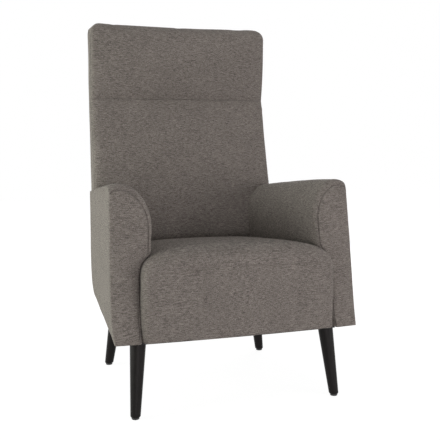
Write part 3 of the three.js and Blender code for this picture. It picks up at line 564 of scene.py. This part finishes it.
def back_end(ring):
    """A grid that closes the back's underside or top."""
    turn = FRONT_COLUMNS + CORNER_COLUMNS // 2
    rear_turn = COLUMNS - turn
    left = ring[turn : rear_turn + 1]
    front_edge = np.concatenate([ring[-turn - 1 : -1], ring[: turn + 1]])
    rear_edge = ring[rear_turn : 2 * COLUMNS - rear_turn + 1][::-1]
    return patch(front_edge, left, rear_edge, left * [-1, 1, 1])


def back_form():
    form = Form()
    lap = cloth.seam_lap
    radii = top_radii()
    start = top_start(radii)
    low = np.concatenate([[0, lap], np.arange(cloth.cell, back.foot, cloth.cell)])
    middle = np.linspace(back.foot, back.seam - lap, BACK_ROWS)
    rows = [back_row(w) for w in (*low, *middle, back.seam)]
    rows += [back_row(mix(back.seam + lap, start, share)) for share in HEAD_SHARES]
    foot, seam, top = len(low), len(low) + len(middle), len(rows) - 1
    rows += [top_row(start, radii, turn) for turn in np.linspace(0, np.pi / 2, TOP_ROWS + 1)[1:]]
    panels = np.full((len(rows) - 1, COLUMNS), REAR)
    panels[foot:seam, :CORNER_END] = BACK
    panels[seam:, :CORNER_END] = HEAD
    panels[:, CORNER_END:WRAP] = LEFT_BORDER
    panels[:foot, :WRAP] = HIDDEN
    panels[top:] = HEAD
    other = np.where(panels == LEFT_BORDER, RIGHT_BORDER, panels)[:, ::-1]
    rings = np.stack([around(row) for row in rows])
    form.grid(placed(*parts_of(rings)), np.concatenate([panels, other], axis=1))
    form.grid(placed(*parts_of(back_end(rings[0]))), HIDDEN)
    form.grid(placed(*parts_of(back_end(rings[-1]))), HEAD)
    return form


# Stuffing


def vectors(obj, name):
    """The co or the normal of each vertex."""
    data = np.empty(len(obj.data.vertices) * 3)
    obj.data.vertices.foreach_get(name, data)
    return data.reshape(-1, 3)


def move_to(obj, points):
    obj.data.vertices.foreach_set("co", points.ravel())
    obj.data.update()


def panels_of(obj):
    """For each vertex, the panels that meet there."""
    found = [set() for _ in obj.data.vertices]
    for polygon in obj.data.polygons:
        for i in polygon.vertices:
            found[i].add(polygon.material_index)
    return found


def draw_in_seams(obj, found, shallow, deep):
    depth = np.zeros(len(found))
    for i, panels in enumerate(found):
        sewn = panels - {HIDDEN}
        if len(sewn) > 1:
            depth[i] = cloth.shallow_depth if sewn in shallow else deep
    move_to(obj, vectors(obj, "co") - vectors(obj, "normal") * depth[:, None])


def inflated(obj, pinned):
    """How far pressure moves each point of a skin of cloth that is pinned at its seams."""
    frames = 20
    obj.vertex_groups.new(name="sewn").add(pinned, 1, "REPLACE")
    simulation = obj.modifiers.new("cloth", "CLOTH")
    settings = simulation.settings
    settings.quality = 5
    settings.mass = 0.3
    settings.tension_stiffness = 15
    settings.compression_stiffness = 15
    settings.bending_stiffness = 0.5
    settings.use_pressure = True
    settings.uniform_pressure_force = 4.0
    settings.vertex_group_mass = "sewn"
    settings.effector_weights.gravity = 0
    simulation.collision_settings.use_collision = False
    simulation.point_cache.frame_start = 1
    simulation.point_cache.frame_end = frames
    for number in range(1, frames + 1):
        bpy.context.scene.frame_set(number)
    shown = obj.evaluated_get(bpy.context.evaluated_depsgraph_get())
    moved = vectors(shown, "co") - vectors(obj, "co")
    obj.modifiers.remove(simulation)
    bpy.context.scene.frame_set(1)
    return moved


def stuffed(obj, caps, shallow=(), deep=cloth.seam_depth):
    """Puffs the panels out between their seams, each by no more than its cap."""
    found = panels_of(obj)
    draw_in_seams(obj, found, shallow, deep)
    pinned = [i for i, panels in enumerate(found) if len(panels) > 1 or HIDDEN in panels]
    moved = inflated(obj, pinned)
    tiny = 1e-9
    far = np.maximum(np.linalg.norm(moved, axis=1), tiny)
    cap = np.array([min(caps.get(p, 0) for p in panels) for panels in found])
    scale = cap * np.tanh(far / np.maximum(cap, tiny)) / far
    move_to(obj, vectors(obj, "co") + moved * scale[:, None])


def uneven(obj, height, size, seed):
    """Slight hollows and swellings of hand-laid padding."""
    points = vectors(obj, "co")
    aside = Vector((seed, 2 * seed, 3 * seed))
    amount = np.array([noise.fractal(Vector(p) / size + aside, 1.0, 2.0, 2) for p in points])
    move_to(obj, points + vectors(obj, "normal") * amount[:, None] * height)


def middle_fold(obj):
    """The soft upright fold in the middle of the headrest."""
    points, normals = vectors(obj, "co"), vectors(obj, "normal")
    across = np.exp(-((points[:, 0] / fold.width) ** 2))
    up = smooth((points[:, 2] - body.gap - fold.start) / fold.fade)
    forward = np.clip(0.5 - normals[:, 1], 0, 1)
    depth = fold.depth * across * up * forward
    move_to(obj, points - normals * depth[:, None])


# Sewing


def seam_chain(start, beside, used):
    """The points of one seam, from a start on to its end."""
    chain, at = [start], start
    used.add(start)
    while at is not None:
        at = next((v for v in beside[at] if v not in used), None)
        if at is not None:
            chain.append(at)
            used.add(at)
    return chain


def seam_lines(obj, pairs):
    """The places and normals along the seams between the named pairs of panels."""
    work = bmesh.new()
    work.from_mesh(obj.data)
    beside = {}
    for side in work.edges:
        if {f.material_index for f in side.link_faces} in pairs:
            for a in side.verts:
                beside.setdefault(a, []).append(side.other_vert(a))
    lines, used = [], set()
    for start in sorted(beside, key=lambda v: (len(beside[v]) != 1, v.index)):
        if start not in used:
            chain = seam_chain(start, beside, used)
            if len(chain) > 3:
                lines.append(np.array([[*v.co, *v.normal] for v in chain]))
    work.free()
    return lines


def thread(work, centre, along, up):
    """One stitch, a spindle of six sides."""
    aside = along.cross(up)
    angles = [math.pi * k / 3 for k in range(6)]
    rings = []
    for share, wide in ((-1, 0.35), (-0.7, 0.9), (0, 1), (0.7, 0.9), (1, 0.35)):
        middle = centre + along * share * stitch.length / 2
        reach = stitch.radius * wide
        spokes = [(aside * math.cos(a) + up * math.sin(a)) * reach for a in angles]
        rings.append([work.verts.new(middle + spoke) for spoke in spokes])
    tube(work, rings)


def stitches(name, lines):
    """Threads at an even pitch along seam lines."""
    work = bmesh.new()
    for line in lines:
        steps = np.linalg.norm(np.diff(line[:, :3], axis=0), axis=1)
        run = np.concatenate([[0], np.cumsum(steps)])
        for middle in np.arange(stitch.pitch, run[-1] - stitch.pitch, stitch.pitch):
            near = [np.interp(middle - stitch.look, run, column) for column in line.T]
            far = [np.interp(middle + stitch.look, run, column) for column in line.T]
            one, other = Vector(near[:3]), Vector(far[:3])
            along = (other - one).normalized()
            up = Vector(near[3:]).normalized()
            up = (up - along * up.dot(along)).normalized()
            thread(work, (one + other) / 2 + up * stitch.rise, along, up)
    bmesh.ops.recalc_face_normals(work, faces=work.faces)
    return from_work(name, work)


# Panels


def trim(work, keep, limit):
    """Takes off what runs under a neighbour, and draws what is past the limit back to it."""
    for vertex in work.verts:
        x, y, w = vertex.co.x, vertex.co.y - front_y, vertex.co.z - body.gap
        vertex.tag = keep is not None and not keep(x, y, w)
        if limit is not None and y > limit(x, w):
            vertex.co.y = limit(x, w) + front_y
            vertex.tag = True
    gone = [f for f in work.faces if all(v.tag for v in f.verts)]
    bmesh.ops.delete(work, geom=gone, context="FACES")


def keep_hems_sharp(work, angle=0.9, sharpness=0.9):
    crease = work.edges.layers.float.new("crease_edge")
    for side in work.edges:
        if side.is_manifold and side.calc_face_angle() > angle:
            side[crease] = sharpness
            side.smooth = False


def panel(form, number, name, keep=None, limit=None):
    """One panel of a form as a piece of its own, with the cloth's thickness."""
    work = bmesh.new()
    work.from_mesh(form.data)
    others = [f for f in work.faces if f.material_index != number]
    bmesh.ops.delete(work, geom=others, context="FACES")
    trim(work, keep, limit)
    keep_hems_sharp(work)
    for f in work.faces:
        f.material_index = 0
        f.smooth = True
    made = from_work(name, work)
    wadding = made.modifiers.new("thickness", "SOLIDIFY")
    wadding.thickness = cloth.thick
    wadding.offset = -1
    wadding.edge_crease_outer = 1
    finer = made.modifiers.new("finer", "SUBSURF")
    finer.levels = 1
    finer.render_levels = 1
    return made


def mirrored(obj, name):
    """The right side's copy of a piece of the left side."""
    made = linked(name, obj.data.copy())
    made.data.transform(Matrix.Diagonal((-1, 1, 1, 1)))
    made.data.flip_normals()
    for old in obj.modifiers:
        new = made.modifiers.new(old.name, old.type)
        for key in ("thickness", "offset", "edge_crease_outer", "levels", "render_levels"):
            if hasattr(old, key):
                setattr(new, key, getattr(old, key))
    return made


def dressed(obj, look, slot, *nodes, fill=None):
    """Gives a piece its material and its body, and hides the nodes that it stands for. The slot
    is not used.
    """
    obj.data.materials.clear()
    obj.data.materials.append(looks[look])
    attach(obj, "root")
    if nodes:
        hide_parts(*nodes)


# Materials


class Nodes:
    """Short calls for building the nodes of a material or a world."""

    def __init__(self, owner):
        owner.use_nodes = True
        self.owner = owner
        self.tree = owner.node_tree
        self.shader = self.tree.nodes.get("Principled BSDF")

    def new(self, kind, **values):
        node = self.tree.nodes.new(kind)
        for key, value in values.items():
            if hasattr(node, key):
                setattr(node, key, value)
            else:
                node.inputs[key.replace("_", " ").title()].default_value = value
        return node

    def link(self, source, target):
        self.tree.links.new(source, target)

    def math(self, operation, a, b=0.5):
        node = self.new("ShaderNodeMath", operation=operation)
        for socket, value in zip(node.inputs, (a, b)):
            if isinstance(value, (int, float)):
                socket.default_value = value
            else:
                self.link(value, socket)
        return node.outputs[0]

    def total(self, *layers):
        """The sum of values, each times its share."""
        value = 0
        for layer, share in layers:
            value = self.math("ADD", value, self.math("MULTIPLY", layer, share))
        return value

    def chosen(self, share, a, b):
        """a where the share is 0, and b where it is 1."""
        return self.math("ADD", a, self.math("MULTIPLY", share, self.math("SUBTRACT", b, a)))

    def place(self):
        return self.new("ShaderNodeTexCoord").outputs["Object"]

    def noise(self, vector, scale, detail=2.0, roughness=0.5):
        node = self.new("ShaderNodeTexNoise", scale=scale, detail=detail, roughness=roughness)
        self.link(vector, node.inputs["Vector"])
        return node.outputs["Fac"]

    def stretched(self, vector, scale):
        node = self.new("ShaderNodeMapping")
        node.inputs["Scale"].default_value = scale
        self.link(vector, node.inputs["Vector"])
        return node.outputs["Vector"]

    def mapped(self, value, source, target):
        node = self.new("ShaderNodeMapRange")
        keys = ("From Min", "From Max", "To Min", "To Max")
        for key, limit in zip(keys, (*source, *target)):
            node.inputs[key].default_value = limit
        self.link(value, node.inputs["Value"])
        return node.outputs[0]

    def ramp(self, value, *stops):
        node = self.new("ShaderNodeValToRGB")
        elements = node.color_ramp.elements
        while len(elements) < len(stops):
            elements.new(0.5)
        for element, (position, colour) in zip(elements, stops):
            element.position = position
            element.color = (*colour, 1)
        self.link(value, node.inputs["Fac"])
        return node.outputs["Color"]

    def bump(self, height, distance, strength):
        node = self.new("ShaderNodeBump")
        node.inputs["Distance"].default_value = distance
        node.inputs["Strength"].default_value = strength
        self.link(height, node.inputs["Height"])
        self.link(node.outputs["Normal"], self.shader.inputs["Normal"])

    def diffuse(self, grey):
        node = self.new("ShaderNodeBsdfDiffuse")
        node.inputs["Color"].default_value = (grey, grey, grey, 1)
        return node.outputs[0]

    def seen(self):
        """1 for what the camera sees, also in gloss or through glass, and 0 for other light."""
        path = self.new("ShaderNodeLightPath").outputs
        either = self.math("MAXIMUM", path["Is Camera Ray"], path["Is Glossy Ray"])
        return self.math("MAXIMUM", either, path["Is Transmission Ray"])

    def set(self, **values):
        for key, value in values.items():
            socket = self.shader.inputs[key.replace("_", " ")]
            socket.default_value = (*value, 1) if isinstance(value, tuple) else value


def weave(m, place, steep=0.72):
    """Rows of yarn over and under each other, in the plane that each face lies nearest to."""
    split = m.new("ShaderNodeSeparateXYZ")
    m.link(m.new("ShaderNodeNewGeometry").outputs["True Normal"], split.inputs[0])
    to_side = m.math("GREATER_THAN", m.math("ABSOLUTE", split.outputs["X"]), steep)
    to_top = m.math("GREATER_THAN", m.math("ABSOLUTE", split.outputs["Z"]), steep)
    waves = []
    for axis in ((1, 0, 0), (0, 1, 0), (0, 0, 1)):
        along = m.new("ShaderNodeVectorMath", operation="DOT_PRODUCT")
        m.link(place, along.inputs[0])
        along.inputs[1].default_value = axis
        turn = m.math("MULTIPLY", along.outputs["Value"], 2 * math.pi / cloth.yarn)
        waves.append(m.math("SINE", turn))
    x, y, z = waves
    upright = m.chosen(to_side, m.math("MULTIPLY", z, x), m.math("MULTIPLY", z, y))
    return m.chosen(to_top, upright, m.math("MULTIPLY", x, y))


def woven(name, dark, middle, light):
    """Melange upholstery cloth: mixed yarns in a plain weave."""
    m = Nodes(bpy.data.materials.new(name))
    place = m.place()
    long_yarns = m.noise(m.stretched(place, (85, 85, 1000)), 1.0, 3, 0.62)
    upright_yarns = m.noise(m.stretched(place, (1000, 1000, 350)), 1.0, 3, 0.62)
    flecks = m.noise(place, 900, 2.5, 0.65)
    clouds = m.noise(place, 14, 2, 0.5)
    tone = m.total((long_yarns, 0.35), (upright_yarns, 0.14), (flecks, 0.48), (clouds, 0.03))
    colour = m.ramp(tone, (0.45, dark), (0.5, middle), (0.55, light))
    m.link(colour, m.shader.inputs["Base Color"])
    m.bump(m.total((weave(m, place), 0.5), (tone, 2.2)), 0.0006, 0.55)
    m.set(Roughness=0.92, Specular_IOR_Level=0.25)
    m.set(Sheen_Weight=0.12, Sheen_Roughness=0.5, Sheen_Tint=(0.8, 0.75, 0.7))
    return m.owner


def lacquered(name, dark, light):
    """Satin lacquer with the turned wood's grain just showing."""
    m = Nodes(bpy.data.materials.new(name))
    place = m.place()
    grain = m.noise(m.stretched(place, (260, 260, 12)), 1.0, 4, 0.6)
    wear = m.noise(place, 30, 3, 0.6)
    colour = m.ramp(m.total((grain, 0.7), (wear, 0.3)), (0.3, dark), (0.7, light))
    m.link(colour, m.shader.inputs["Base Color"])
    rough = m.math("ADD", m.math("MULTIPLY", wear, 0.12), 0.30)
    m.link(rough, m.shader.inputs["Roughness"])
    m.bump(grain, 0.0003, 0.25)
    m.set(Specular_IOR_Level=0.1)
    return m.owner


def sawn_wood(name, dark, light):
    m = Nodes(bpy.data.materials.new(name))
    grain = m.noise(m.stretched(m.place(), (8, 60, 60)), 1.0, 5, 0.6)
    m.link(m.ramp(grain, (0.3, dark), (0.7, light)), m.shader.inputs["Base Color"])
    m.bump(grain, 0.0006, 0.4)
    m.set(Roughness=0.75)
    return m.owner


def speckled(name, dark, light, scale, depth, **values):
    """A plain material with a fine mottle: thread, foam, felt, webbing, nylon or zinc."""
    m = Nodes(bpy.data.materials.new(name))
    grain = m.noise(m.place(), scale, 4, 0.6)
    m.link(m.ramp(grain, (0.3, dark), (0.7, light)), m.shader.inputs["Base Color"])
    m.bump(grain, depth, 0.5)
    m.set(**values)
    return m.owner


looks = {
    "cover": woven(
        "melange_cloth", (0.076, 0.066, 0.058), (0.165, 0.145, 0.128), (0.292, 0.262, 0.235)
    ),
    "thread": speckled(
        "sewing_thread", (0.10, 0.088, 0.078), (0.15, 0.13, 0.115), 900, 0.0001, Roughness=0.8
    ),
    "leg": lacquered("black_lacquer", (0.006, 0.0052, 0.005), (0.014, 0.0118, 0.0112)),
    "timber": sawn_wood("sawn_timber", (0.36, 0.22, 0.11), (0.60, 0.43, 0.25)),
    "foam": speckled(
        "cushion_foam", (0.72, 0.66, 0.52), (0.86, 0.81, 0.68), 700, 0.0005, Roughness=0.95
    ),
    "felt": speckled(
        "pressed_felt", (0.06, 0.058, 0.055), (0.2, 0.19, 0.18), 500, 0.0005, Roughness=1.0
    ),
    "dust_cloth": speckled(
        "dust_cloth", (0.012, 0.012, 0.012), (0.03, 0.03, 0.03), 900, 0.0002, Roughness=0.95
    ),
    "webbing": speckled(
        "elastic_webbing", (0.015, 0.015, 0.017), (0.05, 0.05, 0.055), 600, 0.0003, Roughness=0.9
    ),
    "steel": speckled(
        "zinc_plate", (0.42, 0.42, 0.43), (0.6, 0.6, 0.61), 200, 0.0001,
        Roughness=0.38, Metallic=1.0,
    ),
    "glide": speckled(
        "moulded_nylon", (0.012, 0.012, 0.012), (0.025, 0.025, 0.025), 400, 0.0001,
        Roughness=0.55,
    ),
}


# The pieces


def arm_skin():
    skin = arm_form().object("arm_form")
    caps = {OUTSIDE: bulge.outside, PAD: bulge.pad, FACING: bulge.facing}
    shallow = ({OUTSIDE, PAD}, {OUTSIDE, FACING})
    stuffed(skin, caps, shallow=shallow, deep=cloth.facing_depth)
    uneven(skin, height=0.0012, size=0.12, seed=3.1)
    return skin


def seat_skin():
    skin = seat_form().object("seat_form")
    stuffed(skin, {SEAT: bulge.seat})
    uneven(skin, height=0.0015, size=0.15, seed=7.7)
    return skin


def back_skin():
    skin = back_form().object("back_form")
    caps = {BACK: bulge.back, HEAD: bulge.back}
    caps.update({number: bulge.border for number in (LEFT_BORDER, RIGHT_BORDER, REAR)})
    stuffed(skin, caps, shallow=({BACK, HEAD},))
    uneven(skin, height=0.0015, size=0.16, seed=5.3)
    middle_fold(skin)
    return skin


def above_block(x, y, w):
    """Where the inner arm cover isn't hidden by the corner block."""
    return w > arm.block_top or y < arm.block_front


def above_deck(x, y, w):
    """Where the seat's cover isn't under the cushion."""
    return w > seat.deck or y < seat.lap


def under_back(x, w):
    """How far back the inner arm cover runs."""
    return float(front(w)) + arm.back_reach


def under_cushion(x, w):
    """How far back the seat's cover runs."""
    across = x / half_width(float(front(w)), 0)
    return float(front(w) - crown(w) * (1 - across**2)) + seat.back_reach


def to_rear(x, w):
    """How far back the outer arm cover runs."""
    return float(rear(max(w, 0))) - back.rear_gap


def cover_arms(skin):
    pieces = {
        "outer_arm_cover": panel(skin, OUTSIDE, "left_arm_outside", limit=to_rear),
        "inner_arm_cover": panel(
            skin, PAD, "left_arm_pad", keep=above_block, limit=under_back
        ),
        "arm_front_facing": panel(skin, FACING, "left_arm_facing"),
    }
    for node, piece in pieces.items():
        other = mirrored(piece, piece.name.replace("left", "right"))
        for side, made in (("left", piece), ("right", other)):
            nodes = [f"{side}_{node}"]
            if node == "inner_arm_cover":
                nodes.append(f"{side}_arm_foam")
            dressed(made, "cover", "cover", *nodes, fill=cloth.fill)


def cover_seat(skin):
    piece = panel(skin, SEAT, "seat_cushion", keep=above_deck, limit=under_cushion)
    dressed(piece, "cover", "cover", "seat_cover", "seat_foam", fill=cloth.fill)


def cover_back(skin):
    for number, name, nodes in (
        (BACK, "back_cushion", ("inner_back_cover", "back_foam")),
        (HEAD, "headrest", ("headrest_cover", "headrest_foam")),
        (LEFT_BORDER, "left_back_side", ("left_back_border",)),
        (RIGHT_BORDER, "right_back_side", ("right_back_border",)),
        (REAR, "back_outside", ("outer_back_cover",)),
    ):
        dressed(panel(skin, number, name), "cover", "cover", *nodes, fill=cloth.fill)


def sew(arms, rest):
    left = stitches("left_arm_stitches", seam_lines(arms, ({PAD, FACING},)))
    right = mirrored(left, "right_arm_stitches")
    borders = (LEFT_BORDER, RIGHT_BORDER)
    pairs = [{number, border} for number in (BACK, HEAD, REAR) for border in borders]
    upright = stitches("back_stitches", seam_lines(rest, pairs))
    for piece in (left, right, upright):
        dressed(piece, "thread", "cover")


def leg(name, node, at, side):
    """A turned leg: a straight taper between two level circles, rounded at its foot."""
    top_x, foot_x = half_width(at.top_y, at.top_in), half_width(at.foot_y, at.foot_in)
    top = Vector((side * top_x, at.top_y + front_y, body.gap + legs.rise))
    foot = Vector((side * foot_x, at.foot_y + front_y, legs.foot_height))
    round_share = legs.foot_round / (top.z - foot.z)
    stations = []
    for turn in np.linspace(0, np.pi / 2, LEG_ROUND_STEPS + 1):
        less = legs.foot_round * (1 - math.sin(turn))
        stations.append((round_share * (1 - math.cos(turn)), less))
    stations += [(share, 0) for share in np.linspace(LEG_START, 1, LEG_ROWS)]
    angles = np.linspace(0, 2 * np.pi, LEG_SIDES, endpoint=False)
    spokes = [Vector((math.cos(a), math.sin(a), 0)) for a in angles]
    work = bmesh.new()
    rings = []
    for share, less in stations:
        centre = foot.lerp(top, share)
        radius = mix(legs.foot_radius, legs.top_radius, share) - less
        rings.append([work.verts.new(centre + spoke * radius) for spoke in spokes])
    tube(work, rings)
    dressed(from_work(name, work), "leg", "leg", node)


def dress_solids():
    """The carried-over solids get the record's materials."""
    slots = {entry["node"]: entry["material_slot"] for entry in frame["record"]["subparts"]}
    for name, obj in frame["nodes"].items():
        obj.data.materials.clear()
        obj.data.materials.append(looks[slots[name]])


arms, cushion, rest = arm_skin(), seat_skin(), back_skin()
cover_arms(arms)
cover_seat(cushion)
cover_back(rest)
sew(arms, rest)
for skin in (arms, cushion, rest):
    bpy.data.objects.remove(skin)
dress_solids()
for side_name, sign in (("left", 1), ("right", -1)):
    for end, place in (("front", legs.front), ("rear", legs.rear)):
        leg(f"{side_name}_{end}_turned_leg", f"{side_name}_{end}_leg", place, sign)


# Stage, light and camera


def pale_floor(seen_grey, lit_grey, glow):
    """White to the camera and in gloss, and a plain pale surface for all other light."""
    m = Nodes(bpy.data.materials.new("pale_floor"))
    m.tree.nodes.clear()
    distance = m.new("ShaderNodeVectorMath", operation="LENGTH")
    m.link(m.place(), distance.inputs[0])
    shine = m.new("ShaderNodeEmission")
    strength = m.mapped(distance.outputs["Value"], studio.glow_run, (glow, 1))
    m.link(strength, shine.inputs["Strength"])
    white = m.new("ShaderNodeAddShader")
    m.link(m.diffuse(seen_grey), white.inputs[0])
    m.link(shine.outputs[0], white.inputs[1])
    choice = m.new("ShaderNodeMixShader")
    for source, socket in zip((m.seen(), m.diffuse(lit_grey), white.outputs[0]), choice.inputs):
        m.link(source, socket)
    out = m.new("ShaderNodeOutputMaterial")
    m.link(choice.outputs[0], out.inputs["Surface"])
    return m.owner


def air(strength):
    """White to the camera, and faint for all other light."""
    world = bpy.data.worlds.new("studio")
    bpy.context.scene.world = world
    m = Nodes(world)
    white = m.tree.nodes["Background"]
    white.inputs["Color"].default_value = (1, 1, 1, 1)
    m.link(m.mapped(m.seen(), (0, 1), (strength, 1)), white.inputs["Strength"])


def stage():
    bpy.ops.mesh.primitive_plane_add(size=studio.floor)
    floor = bpy.context.object
    floor.name = "floor"
    floor.data.materials.append(pale_floor(seen_grey=0.16, lit_grey=0.7, glow=0.935))
    air(strength=0.12)


def softbox(name, place, size, power, colour=(1, 1, 1)):
    data = bpy.data.lights.new(name, "AREA")
    data.shape = "RECTANGLE"
    data.size, data.size_y = size
    data.energy = power
    data.color = colour
    lamp = linked(name, data)
    lamp.location = place
    towards = Vector(studio.aim) - Vector(place)
    lamp.rotation_euler = towards.to_track_quat("-Z", "Y").to_euler()


def light():
    softbox("left_softbox", (-2.6, 0.3, 0.8), (3.0, 1.4), power=68, colour=(0.96, 1, 0.94))
    softbox("front_softbox", (-0.3, -3.2, 0.5), (2.4, 0.8), power=29, colour=(1, 0.95, 0.98))
    softbox("right_softbox", (2.2, -2.4, 0.8), (1.6, 1.4), power=35, colour=(1, 0.97, 0.99))
    softbox("top_softbox", (0, -0.5, 3.0), (2.0, 2.0), power=19)
    softbox("rear_softbox", (1.8, 2.3, 1.2), (2.0, 1.6), power=38)


def camera(azimuth, elevation, roll, distance, lens, target):
    """A camera that looks at the target from an azimuth about it, counted from the front."""
    a, e = math.radians(azimuth), math.radians(elevation)
    away = Vector((math.sin(a) * math.cos(e), -math.cos(a) * math.cos(e), math.sin(e)))
    data = bpy.data.cameras.new("camera")
    data.sensor_width = 36
    data.lens = lens
    made = linked("camera", data)
    made.location = Vector(target) + away * distance
    turn = (-away).to_track_quat("-Z", "Y").to_matrix()
    made.rotation_euler = (turn @ Matrix.Rotation(-math.radians(roll), 3, "Z")).to_euler()
    bpy.context.scene.camera = made


stage()
light()
camera(
    azimuth=-18.824, elevation=6.146, roll=0.09, distance=2.372, lens=63.05,
    target=(0.0420, 0.308 + front_y, 0.4914),
)
bpy.context.scene.view_settings.view_transform = "Standard"
